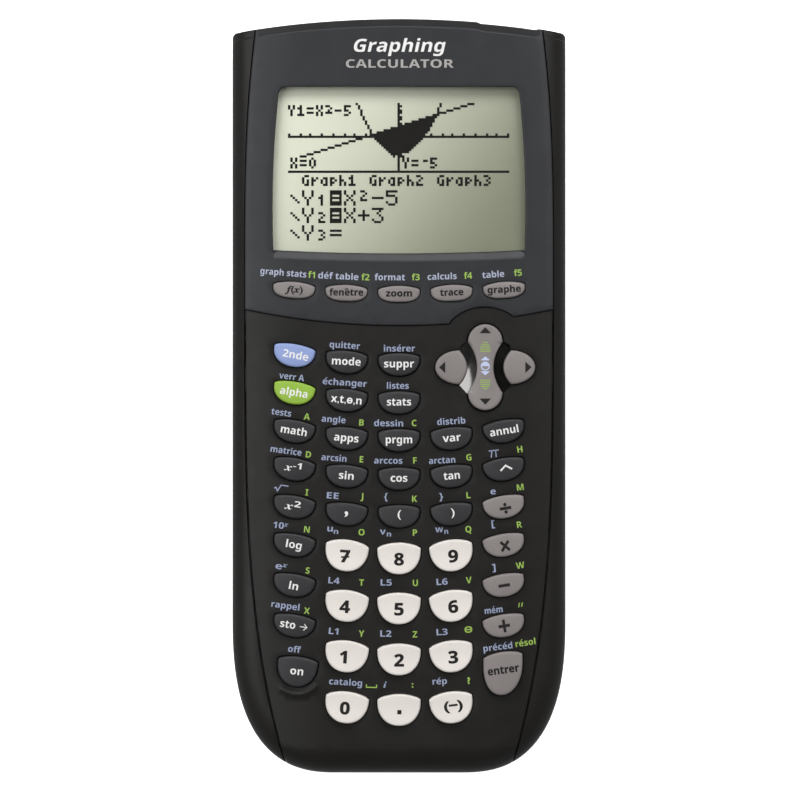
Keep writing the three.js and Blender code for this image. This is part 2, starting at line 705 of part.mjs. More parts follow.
function batterySet() {
  const span = CELL.pitch * (CELL.count - 1);
  const lowY = (BAY.low + BAY.high - CELL.length) / 2;
  const strip = (y) =>
    box(
      [-span / 2 - CELL.radius / 2, y, CELL.z - CELL.radius / 2],
      [span / 2 + CELL.radius / 2, y + STRIP_THICKNESS, CELL.z + CELL.radius / 2],
    );
  const ends = [lowY - STRIP_THICKNESS / 2, lowY + CELL.length + CELL_NUB.length / 2];
  let set = strip(ends[0]).add(strip(ends[1]));
  for (let i = 0; i < CELL.count; i++) {
    const x = i * CELL.pitch - span / 2;
    const { radius, length } = CELL_NUB;
    const can = new THREE.CylinderGeometry(CELL.radius, CELL.radius, CELL.length, ROUND_SIDES);
    const nub = new THREE.CylinderGeometry(radius, radius, 2 * length, SMALL_SIDES);
    set = set.add(solid(can.translate(x, lowY + CELL.length / 2, CELL.z)));
    set = set.add(solid(nub.translate(x, lowY + CELL.length, CELL.z)));
  }
  return set;
}

function dataSocket() {
  const { x, z, width, height, length, wall, depth, tongueInset } = DATA_SOCKET;
  const back = SOCKET_FACE_Y - length;
  const shell = box([x - width / 2, back, z - height / 2], [x + width / 2, SOCKET_FACE_Y, z + height / 2]);
  const mouth = box(
    [x - width / 2 + wall, SOCKET_FACE_Y - depth, z - height / 2 + wall],
    [x + width / 2 - wall, SOCKET_FACE_Y + PAST, z + height / 2 - wall],
  );
  const tongueWidth = width / 2;
  const tongue = box(
    [x - tongueWidth / 2, SOCKET_FACE_Y - depth - tongueInset, z - wall],
    [x + tongueWidth / 2, SOCKET_FACE_Y - tongueInset, z + wall],
  );
  return shell.subtract(mouth).add(tongue);
}

function linkSocket() {
  const { x, z, radius, boreRadius, length, depth } = LINK_SOCKET;
  const profile = [
    new THREE.Vector2(0, -length),
    new THREE.Vector2(radius, -length),
    new THREE.Vector2(radius, 0),
    new THREE.Vector2(boreRadius, 0),
    new THREE.Vector2(boreRadius, -depth),
    new THREE.Vector2(0, -depth),
  ];
  return solid(new THREE.LatheGeometry(profile, ROUND_SIDES).translate(x, SOCKET_FACE_Y, z));
}

addKeypad();
addArrowPad();
add("front_case", frontCase(), CASE_COLOUR);
add("rear_case", rearCase(), CASE_COLOUR);
add("screen_bezel", bezel(), BEZEL_COLOUR, { roughness: 0.35 });
add("screen_window", screenWindow(), LCD_COLOUR, { roughness: 0.05, transparent: true, opacity: 0.3 });
add("lcd_module", lcdModule(), LCD_COLOUR, { roughness: 0.2 });
add("key_mat", keyMat(), RUBBER_COLOUR, { roughness: 0.8 });
add("circuit_board", circuitBoard(), BOARD_COLOUR);
add("battery_door", batteryDoor(), CASE_COLOUR);
add("battery_set", batterySet(), CELL_COLOUR, { roughness: 0.35, metalness: 0.6 });
add("data_socket", dataSocket(), METAL_COLOUR, { roughness: 0.3, metalness: 1 });
add("link_socket", linkSocket(), CASE_COLOUR);

export default calculator;
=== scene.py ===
"""A handheld graphing calculator, lying on its back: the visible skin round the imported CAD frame.

X runs across the calculator, +Y towards the display end and +Z out of the keys. Lengths are
millimetres until piece() turns them into metres.
"""
import math
from typing import NamedTuple

import bpy
import numpy as np
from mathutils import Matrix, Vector
from mathutils.geometry import delaunay_2d_cdt
from mathutils.kdtree import KDTree


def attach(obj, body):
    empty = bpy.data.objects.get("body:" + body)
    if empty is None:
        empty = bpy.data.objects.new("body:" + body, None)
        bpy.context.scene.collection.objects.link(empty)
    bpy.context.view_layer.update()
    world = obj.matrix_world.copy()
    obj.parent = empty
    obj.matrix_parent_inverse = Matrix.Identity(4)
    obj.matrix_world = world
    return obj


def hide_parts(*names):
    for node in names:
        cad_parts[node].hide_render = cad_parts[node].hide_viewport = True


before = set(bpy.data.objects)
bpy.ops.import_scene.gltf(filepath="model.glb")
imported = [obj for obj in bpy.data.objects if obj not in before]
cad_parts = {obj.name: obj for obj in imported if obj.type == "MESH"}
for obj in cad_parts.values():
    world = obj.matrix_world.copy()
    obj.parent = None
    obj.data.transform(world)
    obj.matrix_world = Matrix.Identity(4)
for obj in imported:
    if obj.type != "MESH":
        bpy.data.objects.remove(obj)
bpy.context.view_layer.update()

MM = 0.001
SHARP_ANGLE = 40
SAME_SPOT = 1e-5

# Outline of the casing.
HALF_WIDTH = 42
HALF_LENGTH = 94.8
LOWER_CORNER = {"x": 26.6, "y": 39.4, "power": 2.59}
TOP_ARC_RADIUS = 249
TOP_CORNER_RADIUS = 1.4
STRAIGHT_END_Y = 90
PORT_RECESS = {"low": 20.2, "high": 34.8, "depth": 0.35}

# Heights above the surface it lies on.
BACK_Z = 0.6
SEAM_LOW_Z = 10.85
SEAM_HIGH_Z = 11.15
LIP_Z = 12
BAND_Z = 19.7
FACE_Z = 20.5
BEZEL_Z = 21
BED_Z = 18.4
BEZEL_UNDER_Z = 19.7
KEY_UNDER_Z = 17
DISPLAY_Z = 17.8

# Walls and gaps.
WALL = 2.2
LIP_INSET = 1
SHELL_THICKNESS = 2
BACK_THICKNESS = 2.4
WELL_GAP = 0.11
BEZEL_GAP = 0.18
BEZEL_END = 0.05
BED_LEDGE = 1.4
BEZEL_WALL = 1.2
THINNEST = 0.3
STEP = 0.01
PAST = 1

# The raised face between the two side grooves.
FACE_WIDEST = {"half": 38.64, "y": 30}
FACE_TOP = {"half": 36, "y": 91.3, "power": 3}
FACE_FOOT = {"half": 28.75, "y": -91.4, "power": 3.7}
GROOVE = {"half": 0.3, "floor": 0.12, "depth": 0.75}
PILLOW = {"width": 13, "drop": 1.1}
BAND_ROLL = {"width": 6.5, "drop": 5.6}
FACE_ROLL = {"width": 7, "drop": 6.2}
END_ROLL = {"width": 0.5, "drop": 0.4}
BACK_ROLL = {"width": 5.5, "drop": 4.6}
BACK_END_ROLL = {"width": 3.5, "drop": 3}
BEZEL_PILLOW = 0.8

# The seam between the bezel and the key deck, with its hump over the arrow keys.
SEAM_CURVE = {"middle": 17.85, "rise": 0.0027}
HUMP = {"x": 21.5, "y": 10.5, "radius": 12, "low": 12.6, "high": 28.7}
END_STEP = {"start": 2.2, "end": 1.7, "drop": 0.35}
END_STEP_SIDE = (36.6, 41.4)
END_TRIM = {"low": 0.3, "half": 35.4, "rise": 0.03, "thickness": 0.25}

# The opening over the display, which is widest at its waist.
SCREEN = {
    "top": 77.7, "waist_y": 47, "waist": 31.7, "narrowing": 1.7, "foot": 35.95, "sag": 0.85, "corner": 1.5,
}
SILL = {"width": 2.1, "drop": 0.9, "end": 0.03, "rows": (0.7, 1.4, 2.1, 2.25)}

# Rounded edges: the distance from the edge and the drop there.
WELL_FILLET = [(0, 0.25), (0.06, 0.1), (0.14, 0.03), (0.26, 0)]
SCREEN_FILLET = [(0, 0.3), (0.07, 0.12), (0.17, 0.03), (0.3, 0)]
BEZEL_FILLET = [(0, 0.35), (0.07, 0.15), (0.17, 0.04), (0.31, 0)]

# How far inside the outline the rings of points lie that carry the rolled edges.
FRONT_RINGS = (0.2, 0.5, LIP_INSET, 1.6, WALL, 3.1, 4.3, 5.6)
BACK_RINGS = (0.2, 0.5, LIP_INSET, 1.6, WALL, 3.2, 4.4, 5.5)

# How many points each curve has, and how far apart the loose points of each surface are.
POINTS = {
    "edge": 60, "lower_corner": 44, "groove": 150, "bezel_end": 75, "hump": 26, "seam": 50, "short_seam": 12,
    "screen_foot": 50, "screen_side": 32, "screen_top": 40, "cap_bowl": 14, "cap_arch": 11, "neck": 12,
    "lobe": 14, "arrow_far": 26, "arrow_near": 18, "crescent": 25, "rib": 34, "step": 6, "trim": 72,
    "disc": 15, "ring": 13, "circle": 40,
}
CORNER_TURN = 15
SPACING = {"front": 1.5, "back": 3, "bay": 6, "crescent": 0.7, "trim": 1, "cap": 1, "screw": 0.6, "boss": 2}
BORDER_SPACING = {"door": 2, "bay": 4, "whole": 60}

# Keys.
CAP_POWER = 2.15
CAP_CORNER = 0.45
CAPS = {
    "small": {"width": 10.4, "height": 5.7, "arch": 0.74, "shoulder": 0.8, "top": 22, "crown": (0.3, 0.1)},
    "function": {"width": 10.5, "height": 4.1, "arch": 0.8, "shoulder": 0.5, "top": 21.9, "crown": (0.3, 0.1)},
    "digit": {"width": 10.85, "height": 7.9, "arch": 1.17, "shoulder": 0.9, "top": 22.5, "crown": (0.35, -0.3)},
    "on": {"width": 10.1, "height": 7.6, "arch": 0.85, "shoulder": 0.9, "top": 22, "crown": (0.3, 0.1)},
    "enter": {"width": 9.8, "height": 10.8, "arch": 0.9, "shoulder": 2.2, "top": 22.2, "crown": (0.3, 0.1)},
}
CAPS["function"]["power"] = 2.7
CAPS["enter"]["slant"] = 0.13
CAP_FILLET = 0.5
CAP_RINGS = (0.05, 0.14, 0.28, CAP_FILLET)
COLUMNS = [-26.35, -13.2, 0, 13.2, 26.35]
TILTS = {
    "small": [-9.4, -5.4, 0, 5.4, 9.4],
    "function": [-4.2, -2.1, 0, 2.1, 4.2],
    "digit": [0, -7, 0, 7, 0],
}
ROCKER = {
    "x": 21.6, "y": 7.35, "lobe": 4.33, "lobe_height": 4.4, "shoulder": 6.4, "waist": 2.07, "top": 22.3,
    "fall": 0.35, "swing": 0.15,
}
SIDE_ARROW = {"reach": 8.55, "outer": 6.05, "bulge": 1.89, "half_height": 4.25, "top": 22.2, "fall": 0.3}
CRESCENT = {"left": (18, 0.29), "right": (19.7, 0), "thickness": 0.3, "spare": 0.25}
GUARD_RIB = {
    "x": -25.5, "y": -68.5, "radius": 6.2, "half": 0.5, "height": 0.22, "low": 226, "high": 326, "fade": 20,
    "rows": (-1, -0.7, -0.35, 0, 0.35, 0.7, 1),
}

# Back of the casing.
DOOR = {"half": 24.6, "low": 30.2, "high": 80.2, "thickness": 1.5, "gap": 0.3}
DOOR_EDGE = {"width": 0.35, "drop": 0.35}
DOOR_RINGS = (0.08, 0.2, 0.35)
THUMB_PAD = {"half": 7.5, "low": 32.4, "high": 37.9, "depth": 0.5, "ribs": 5, "least": 0.25, "rows": 8}
BAY = {
    "half": 22.4, "low": 31.4, "high": 79.2, "ceiling": 13.2, "wall": 1, "ledge": 4, "ledge_z": 2.4,
    "ledge_thickness": 2,
}
CELL = {"radius": 5.25, "length": 44.5, "count": 4, "pitch": 10.8, "z": 7.7}
CELL_FOOT = [(1.4, 0), (0.5, 0.1), (0.1, 0.4), (0, 0.9)]
CELL_HEAD = [(0, 1.4), (0.15, 0.8), (0.8, 0.5)]
CELL_NUB = [(1.9, -0.5), (1.9, 0.4), (1.7, 0.6), (0, 0.6)]
CELL_BAND_ENDS = {"low": 31, "high": 1.6, "proud": 0.02}
CONTACT_STRIP = {"half": 2.6, "thickness": 0.3, "foot": 0.8, "head": 0.7}
FEET = [(30, 84), (-30, 84), (23, -84), (-23, -84)]
FOOT_PAD = [(0, 0), (4, 0), (4.35, 0.12), (4.5, 0.45), (4.5, 1.5), (0, 1.5)]
SCREWS = [(x * side, y) for x, y in ((33.6, 66), (33.6, 0), (27, -68)) for side in (1, -1)]
SCREW = {
    "recess": 3.3, "boss": 4.5, "head": 2.6, "head_low": 5, "head_high": 6.6, "boss_low": 1.8,
    "boss_top": 10.4, "rim": 0.25, "seat": 3.6, "turn": 25, "dome": 0.5, "ring": 2.2,
}
SCREW_CROSS = {"arm": 1.5, "half": 0.3, "depth": 0.9, "edge": 0.015}

# Sockets in the display end.
DATA_SOCKET = {"x": 24, "z": 15, "width": 7.7, "height": 4}
LINK_SOCKET = {"x": 31.2, "z": 15, "radius": 2.8, "bore": 1.25, "length": 10, "depth": 9, "rim": 0.25}
SOCKET_FACE_Y = 91.9
SOCKET_MARGIN = 0.3
SOCKET_ROOM = {"low": 80, "high": 96.8}
LINK_PLACE = (LINK_SOCKET["x"], SOCKET_FACE_Y, LINK_SOCKET["z"])

# Lettering.
LEGEND_SIZE = 2.65
FUNCTION_LEGEND_SIZE = 2.3
LABEL_SIZE = 2.2
DIGIT = {"size": 4.2, "stretch": 1.1, "y": -0.15, "shift": 0.05, "one_left": 0.4}
DARK_WEIGHT = 0.02
X_HEIGHT = 0.556
INK_HEIGHT = 0.02
INK_DEPTH = 0.06
INK_STEP = 0.8
SCRIPTS = {"|": 0.3, "_": -0.22}
SCRIPT_SIZE = 0.8
SCRIPT_GAP = 0.04
ACCENT_HALF = 0.055
PEN = 0.26
TITLE = {
    "x": 0.2, "upper": 4.5, "upper_width": 23, "upper_y": 87.7,
    "lower": 2.9, "lower_width": 27, "lower_y": 83.5,
}
BOLD_RANGES = [("A", "Z", 0x1D5D4), ("a", "z", 0x1D5EE), ("0", "9", 0x1D7EC)]
ACCENTS = {
    "é": ("e", [(0.02, 0.62, 0.2, 0.8)]),
    "ê": ("e", [(-0.2, 0.62, 0.0, 0.78), (0.2, 0.62, 0.0, 0.78)]),
}


# Points, lines and distances.

def turned(points, x, y, degrees):
    angle = math.radians(degrees)
    spin = np.array([[math.cos(angle), math.sin(angle)], [-math.sin(angle), math.cos(angle)]])
    return points @ spin + (x, y)


def mirrored(half):
    """A right-hand half, listed upwards, closed with its mirror image."""
    half = np.array(half, float)
    left = half[half[:, 0] > 0][::-1] * (-1, 1)
    return np.vstack([half, left])


def dense(points, step, closed=True):
    """The same line with more points, at most one step apart."""
    points = np.array(points, float)
    ends = np.roll(points, -1, axis=0) if closed else points[1:]
    found = []
    for start, end in zip(points, ends):
        count = max(1, math.ceil(np.hypot(*(end - start)) / step))
        found += [start + (end - start) * i / count for i in range(count)]
    return np.array(found if closed else [*found, points[-1]])


def rectangle(low_x, low_y, high_x, high_y, step=2):
    return dense([(low_x, low_y), (high_x, low_y), (high_x, high_y), (low_x, high_y)], step)


def on_circle(turns):
    return np.column_stack([np.cos(turns), np.sin(turns)])


def circle(x, y, radius):
    turns = np.arange(POINTS["circle"]) * 2 * math.pi / POINTS["circle"]
    return on_circle(turns) * radius + (x, y)


def border(part, margin=0.0, step=BORDER_SPACING["door"]):
    """The rectangle that a part fills across the middle line, grown by "margin"."""
    half = part["half"] + margin
    return rectangle(-half, part["low"] - margin, half, part["high"] + margin, step)


def distance(points, line):
    """The shortest distance from each point to an open line."""
    best = np.full(len(points), np.inf)
    for start, end in zip(line[:-1], line[1:]):
        step = end - start
        along = np.clip((points - start) @ step / max(step @ step, 1e-12), 0, 1)
        apart = points - start - along[:, None] * step
        best = np.minimum(best, (apart ** 2).sum(axis=1))
    return np.sqrt(best)


def rim_distance(points, rim):
    return distance(points, np.vstack([rim, rim[:1]]))


def inside(points, rim):
    found = np.zeros(len(points), bool)
    low, high = rim.min(axis=0), rim.max(axis=0)
    near = np.flatnonzero(((points >= low) & (points <= high)).all(axis=1))
    x, y = points[near].T
    odd = np.zeros(len(near), bool)
    for (ax, ay), (bx, by) in zip(rim, np.roll(rim, -1, axis=0)):
        if ay != by:
            crosses = (ay > y) != (by > y)
            odd ^= crosses & (x < (bx - ax) * (y - ay) / (by - ay) + ax)
    found[near] = odd
    return found


def roll(gap, width, drop):
    """How far a rounded edge has fallen at a distance of "gap" from the edge's end."""
    along = np.clip(1 - gap / width, 0, 1)
    return drop * (1 - np.sqrt(1 - along ** 2))


def ramp(value, low, high):
    return np.clip((value - low) / (high - low), 0, 1)


# Outlines.

def superellipse(a, b, power, count):
    """The quarter from (0, -b) up to (a, 0)."""
    angles = np.linspace(math.pi / 2, 0, count + 1)
    across = np.abs(np.cos(angles)) ** (2 / power)
    along = np.abs(np.sin(angles)) ** (2 / power)
    return np.column_stack([a * across, -b * along])


def top_arc_y(x):
    y = HALF_LENGTH - x * x / (2 * TOP_ARC_RADIUS)
    return y - PORT_RECESS["depth"] * ((x > PORT_RECESS["low"]) & (x < PORT_RECESS["high"]))


def case_outline(inset=0.0):
    corner = superellipse(LOWER_CORNER["x"], LOWER_CORNER["y"], LOWER_CORNER["power"], POINTS["lower_corner"])
    corner += (HALF_WIDTH - LOWER_CORNER["x"], LOWER_CORNER["y"] - HALF_LENGTH)
    straight_y = np.linspace(corner[-1, 1], STRAIGHT_END_Y, POINTS["edge"] + 1)[1:]
    straight = np.column_stack([np.full(len(straight_y), HALF_WIDTH), straight_y])
    middle_x = HALF_WIDTH - TOP_CORNER_RADIUS
    middle_y = float(top_arc_y(np.array(middle_x))) - TOP_CORNER_RADIUS
    small = on_circle(np.radians(np.arange(0, 90, CORNER_TURN))) * TOP_CORNER_RADIUS + (middle_x, middle_y)
    steps = [edge + side * STEP for edge in (PORT_RECESS["low"], PORT_RECESS["high"]) for side in (-1, 1)]
    x = np.sort([*np.linspace(-middle_x, middle_x, POINTS["edge"]), *steps])[::-1]
    arc = np.column_stack([x, top_arc_y(x)])
    left = np.vstack([small[::-1], straight[::-1], corner[::-1]])[:-1] * (-1, 1)
    outline = np.vstack([corner, straight, small, arc, left])
    return outline * (1 - inset / HALF_WIDTH, 1 - inset / HALF_LENGTH)


def face_half_width(y):
    y = np.asarray(y, float)
    upper = np.clip((y - FACE_WIDEST["y"]) / (FACE_TOP["y"] - FACE_WIDEST["y"]), 0, None)
    lower = np.clip((y - FACE_WIDEST["y"]) / (FACE_FOOT["y"] - FACE_WIDEST["y"]), 0, None)
    narrower = (FACE_WIDEST["half"] - FACE_TOP["half"]) * upper ** FACE_TOP["power"]
    narrower += (FACE_WIDEST["half"] - FACE_FOOT["half"]) * lower ** FACE_FOOT["power"]
    return FACE_WIDEST["half"] - narrower


def groove_line(side, offset):
    y = np.linspace(-HALF_LENGTH - PAST, HALF_LENGTH + PAST, POINTS["groove"])
    return np.column_stack([side * (face_half_width(y) + offset), y])


def seam_y(x):
    return SEAM_CURVE["middle"] + SEAM_CURVE["rise"] * x * x


def bezel_outline(margin, end):
    """The bezel's outline, grown by "margin" at its seams and cut back by "end" at the display end."""
    corner_x = float(face_half_width(seam_y(FACE_WIDEST["half"]))) + margin
    low = seam_y(corner_x) - margin
    top_half = FACE_TOP["half"] + margin
    y = np.linspace(low, float(top_arc_y(np.array(top_half))) - end, POINTS["edge"])
    side = np.column_stack([face_half_width(y) + margin, y])
    side[-1, 0] = side[-2, 0]
    x = np.linspace(side[-1, 0], -side[-1, 0], POINTS["bezel_end"])[1:-1]
    arc = np.column_stack([x, top_arc_y(x) - end])
    hump_low, hump_high = HUMP["low"] + margin, HUMP["high"] - margin
    hump_x = np.linspace(hump_low, hump_high, POINTS["hump"])[1:]
    hump_y = HUMP["y"] + np.sqrt((HUMP["radius"] - margin) ** 2 - (hump_x - HUMP["x"]) ** 2)
    low_x = np.linspace(-corner_x, hump_low, POINTS["seam"])[1:]
    high_x = np.linspace(hump_high, corner_x, POINTS["short_seam"])[1:-1]
    seams = [np.column_stack([x, seam_y(x) - margin]) for x in (low_x, high_x)]
    return np.vstack([side, arc, side[::-1] * (-1, 1), seams[0], np.column_stack([hump_x, hump_y]), seams[1]])


def screen_side(y):
    along = (y - SCREEN["waist_y"]) / (SCREEN["top"] - SCREEN["waist_y"])
    return SCREEN["waist"] - SCREEN["narrowing"] * along ** 2


def screen_foot():
    half = float(screen_side(SCREEN["foot"] + SCREEN["sag"]))
    x = np.linspace(-half, half, POINTS["screen_foot"])
    return np.column_stack([x, SCREEN["foot"] + SCREEN["sag"] * (x / half) ** 2])


def screen_outline(margin=0.0):
    """The display's opening, grown by "margin"."""
    foot, corner, high = screen_foot(), SCREEN["corner"], SCREEN["top"]
    y = np.linspace(foot[-1, 1], high - corner, POINTS["screen_side"])[1:]
    side = np.column_stack([screen_side(y), y])
    middle = (float(screen_side(high)) - corner, high - corner)
    round_corner = on_circle(np.radians(np.arange(CORNER_TURN, 91, CORNER_TURN))) * corner + middle
    across = np.linspace(middle[0], -middle[0], POINTS["screen_top"])[1:-1]
    top = np.column_stack([across, np.full(len(across), high)])
    left = np.vstack([round_corner[::-1], side[::-1]]) * (-1, 1)
    centre = np.array([0, (high + SCREEN["foot"]) / 2])
    size = np.array([SCREEN["waist"], (high - SCREEN["foot"]) / 2])
    return (np.vstack([foot, side, round_corner, top, left]) - centre) * (1 + margin / size) + centre


def cap_outline(cap, margin=0.0):
    """A key cap with an arched top edge and a round lower edge. A slant raises its right-hand side."""
    half, top = cap["width"] / 2 + margin, cap["height"] / 2 + margin
    widest = cap["height"] / 2 - cap["arch"] - cap["shoulder"]
    power = cap.get("power", CAP_POWER)
    bowl = widest + cap["height"] / 2 + margin
    lower = superellipse(half, bowl, power, POINTS["cap_bowl"]) + (0, widest)
    corner_place = (half - CAP_CORNER, top - cap["arch"] - CAP_CORNER)
    corner = on_circle(np.radians(np.arange(0, 90, CORNER_TURN))) * CAP_CORNER + corner_place
    x = np.linspace(half - CAP_CORNER, 0, POINTS["cap_arch"])
    arch = np.column_stack([x, np.minimum(top - cap["arch"] * (x / half) ** 2, top)])
    outline = mirrored([*lower, *corner, *arch[1:]])
    outline[:, 1] += cap.get("slant", 0) * outline[:, 0]
    return outline


def rocker_outline(margin=0.0):
    lobe, waist, shoulder = ROCKER["lobe"] + margin, ROCKER["waist"] + margin, ROCKER["shoulder"]
    along = np.linspace(0, 1, POINTS["neck"])[:-1]
    neck = np.column_stack([waist + (lobe - waist) * along ** 2, shoulder * along])
    turns = np.linspace(0, math.pi / 2, POINTS["lobe"])
    head = on_circle(turns) * (lobe, ROCKER["lobe_height"] + margin) + (0, shoulder)
    head[-1, 0] = 0
    quarter = np.vstack([neck, head])
    return mirrored([*(quarter[1:][::-1] * (1, -1)), *quarter])


def side_arrow_outline(margin=0.0):
    outer, bulge, height = (SIDE_ARROW[part] + margin for part in ("outer", "bulge", "half_height"))
    far = on_circle(np.linspace(-math.pi / 2, math.pi / 2, POINTS["arrow_far"])) * (outer, height)
    along = np.linspace(1, -1, POINTS["arrow_near"])[1:-1]
    near = np.column_stack([-bulge * (1 - along ** 2), height * along])
    return np.vstack([far, near])


# Solids between two height functions.

class Line(NamedTuple):
    """Points that a surface is cut along. "drop" lowers the surface there."""
    points: np.ndarray
    drop: float = 0
    closed: bool = True


def opened(points):
    return Line(points, closed=False)


def holds(points, rims):
    """Whether each point is inside the first rim and outside the others."""
    found = inside(points, rims[0].points)
    for hole in rims[1:]:
        found &= ~inside(points, hole.points)
    return found


def grid(rims, taken, spacing):
    """Loose points inside the first rim, on a triangular grid, clear of the points that are taken."""
    low, high = rims[0].points.min(axis=0), rims[0].points.max(axis=0)
    rows = np.arange(low[1], high[1], spacing * math.sqrt(3) / 2)
    across = np.arange(low[0], high[0], spacing)
    spots = np.array([(x + spacing / 2 * (i % 2), y) for i, y in enumerate(rows) for x in across])
    tree = KDTree(len(taken))
    for i, (x, y) in enumerate(taken):
        tree.insert((x, y, 0), i)
    tree.balance()
    clear = 0.6 * spacing
    spots = spots[holds(spots, rims)]
    return np.array([spot for spot in spots if tree.find((*spot, 0))[2] > clear]).reshape(-1, 2)


def triangulate(rims, lines, spacing):
    """Triangles inside the first rim and outside the others: points, triangles and each point's drop."""
    cuts = [*rims, *lines]
    points = np.vstack([cut.points for cut in cuts])
    drops = np.concatenate([np.full(len(cut.points), float(cut.drop)) for cut in cuts])
    edges, start = [], 0
    for cut in cuts:
        end = start + len(cut.points)
        edges += [(i, i + 1) for i in range(start, end - 1)]
        if cut.closed:
            edges.append((end - 1, start))
        start = end
    flat = [Vector(p) for p in np.vstack([points, grid(rims, points, spacing)])]
    found, _, triangles, sources, _, _ = delaunay_2d_cdt(flat, edges, [], 0, SAME_SPOT)
    found, triangles = np.array(found), np.array(triangles)
    kept = holds(found[triangles].mean(axis=1), rims)
    lowered = np.array([max((drops[i] for i in ids if i < len(drops)), default=0) for ids in sources])
    used, triangles = np.unique(triangles[kept], return_inverse=True)
    return found[used], facing_up(found[used], triangles.reshape(-1, 3)), lowered[used]


def facing_up(points, triangles):
    a, b, c = (points[triangles[:, i]] for i in range(3))
    area = (b[:, 0] - a[:, 0]) * (c[:, 1] - a[:, 1]) - (b[:, 1] - a[:, 1]) * (c[:, 0] - a[:, 0])
    triangles = triangles.copy()
    triangles[area < 0] = triangles[area < 0][:, ::-1]
    return triangles[np.abs(area) > 1e-9]


def between(points, triangles, top, under):
    """The closed solid over a flat set of triangles: 3D points and faces."""
    count = len(points)
    vertices = np.vstack([np.column_stack([points, top]), np.column_stack([points, under])])
    directed = {(int(a), int(b)) for t in triangles for a, b in zip(t, np.roll(t, -1))}
    walls = [(a + count, b + count, b, a) for a, b in directed if (b, a) not in directed]
    faces = [tuple(map(int, t)) for t in triangles]
    faces += [tuple(int(i) + count for i in t[::-1]) for t in triangles]
    return vertices, faces + sorted(walls)


def heights(surface, points):
    """A surface's heights at some points. A plain number stands for a level surface."""
    return surface(points) if callable(surface) else np.full(len(points), float(surface))


def slab(rims, lines, spacing, top, under, seen="top"):
    """A solid whose "seen" surface is lowered into the solid along its lines."""
    points, triangles, drops = triangulate(rims, lines, spacing)
    high, low = heights(top, points), heights(under, points)
    if seen == "top":
        high = high - drops
        low = np.minimum(low, high - THINNEST)
    else:
        low = low + drops
        high = np.maximum(high, low + THINNEST)
    return between(points, triangles, high, low)


def brick(low, high):
    """The rectangular solid between two opposite corners."""
    rim = np.array([(low[0], low[1]), (high[0], low[1]), (high[0], high[1]), (low[0], high[1])])
    return between(rim, np.array([(0, 1, 2), (0, 2, 3)]), np.full(4, high[2]), np.full(4, low[2]))


def lathe(profile):
    """A closed solid turned about Z, from (radius, z) points that start and end on the axis."""
    count = POINTS["circle"]
    turns = np.arange(count) * 2 * math.pi / count
    vertices = [(0, 0, profile[0][1])]
    for radius, z in profile[1:-1]:
        vertices += [(radius * math.cos(t), radius * math.sin(t), z) for t in turns]
    vertices.append((0, 0, profile[-1][1]))
    faces = [(0, 1 + (i + 1) % count, 1 + i) for i in range(count)]
    for ring in range(len(profile) - 3):
        start = 1 + ring * count
        faces += [
            (start + i, start + (i + 1) % count, start + count + (i + 1) % count, start + count + i)
            for i in range(count)
        ]
    last, start = len(vertices) - 1, 1 + (len(profile) - 3) * count
    faces += [(last, start + i, start + (i + 1) % count) for i in range(count)]
    return np.array(vertices), faces


def laid_down(solid, place, way=1):
    """A turned solid with its axis laid along Y, at a place and pointing up or down the calculator."""
    points, faces = solid
    return np.column_stack([points[:, 0], way * points[:, 2], -way * points[:, 1]]) + place, faces


def joined(solids):
    vertices, faces, start = [], [], 0
    for points, polygons in solids:
        vertices.append(points)
        faces += [tuple(i + start for i in polygon) for polygon in polygons]
        start += len(points)
    return np.vstack(vertices), faces


def new_object(name, solid):
    points, faces = solid
    mesh = bpy.data.meshes.new(name)
    mesh.from_pydata((points * MM).tolist(), [], faces)
    made = bpy.data.objects.new(name, mesh)
    bpy.context.scene.collection.objects.link(made)
    return made


def piece(name, solid, material, body="casing", replaces=()):
    made = new_object(name, solid)
    made.data.shade_smooth()
    made.data.set_sharp_from_angle(angle=math.radians(SHARP_ANGLE))
    made.data.materials.append(material)
    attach(made, body)
    if replaces:
        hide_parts(*replaces)
    return made


# Materials.

TINT_MM = 9
GLOSS_MM = 3.5
GRAIN_DEPTH = 0.02
# The display's size and middle, across which its painted light and shade fade.
DISPLAY = {"half_width": 32, "half_height": 21, "middle_y": 57}
UNEVEN_GLOSS = 0.04


def material(name, colour, roughness, **sockets):
    """A material with its values on the shader's own sockets. In a socket's name, _ stands for a space."""
    made = bpy.data.materials.new(name)
    made.use_nodes = True
    values = {"Base Color": (*colour, 1), "Roughness": roughness, "Specular IOR Level": 0.2}
    values |= {socket.replace("_", " "): value for socket, value in sockets.items()}
    for socket, value in values.items():
        made.node_tree.nodes["Principled BSDF"].inputs[socket].default_value = value
    return made


def node(tree, kind, inputs, **settings):
    """A new shader node. Each input gets a value, or a link where another node's output is given."""
    made = tree.nodes.new("ShaderNode" + kind)
    for name, value in settings.items():
        setattr(made, name, value)
    for name, value in inputs.items():
        if isinstance(value, bpy.types.NodeSocket):
            tree.links.new(value, made.inputs[name])
        else:
            made.inputs[name].default_value = value
    return made


def noise(tree, size_mm, detail=3.0):
    """A noise texture in object space whose blotches are about size_mm across."""
    place = node(tree, "TexCoord", {}).outputs["Object"]
    inputs = {"Scale": 1 / (size_mm * MM), "Detail": detail, "Vector": place}
    return node(tree, "TexNoise", inputs).outputs["Fac"]


def spread(tree, value, low, high):
    """A noise's values, which lie mostly between 0.3 and 0.7, spread from low to high."""
    inputs = {"Value": value, "From Min": 0.3, "From Max": 0.7, "To Min": low, "To Max": high}
    return node(tree, "MapRange", inputs).outputs["Result"]


def shaded(tree, factor, first, second):
    """Makes the base colour a mix of two colours."""
    mixed = node(tree, "Mix", {"Factor": factor, "A": (*first, 1), "B": (*second, 1)}, data_type="RGBA")
    tree.links.new(mixed.outputs["Result"], tree.nodes["Principled BSDF"].inputs["Base Color"])


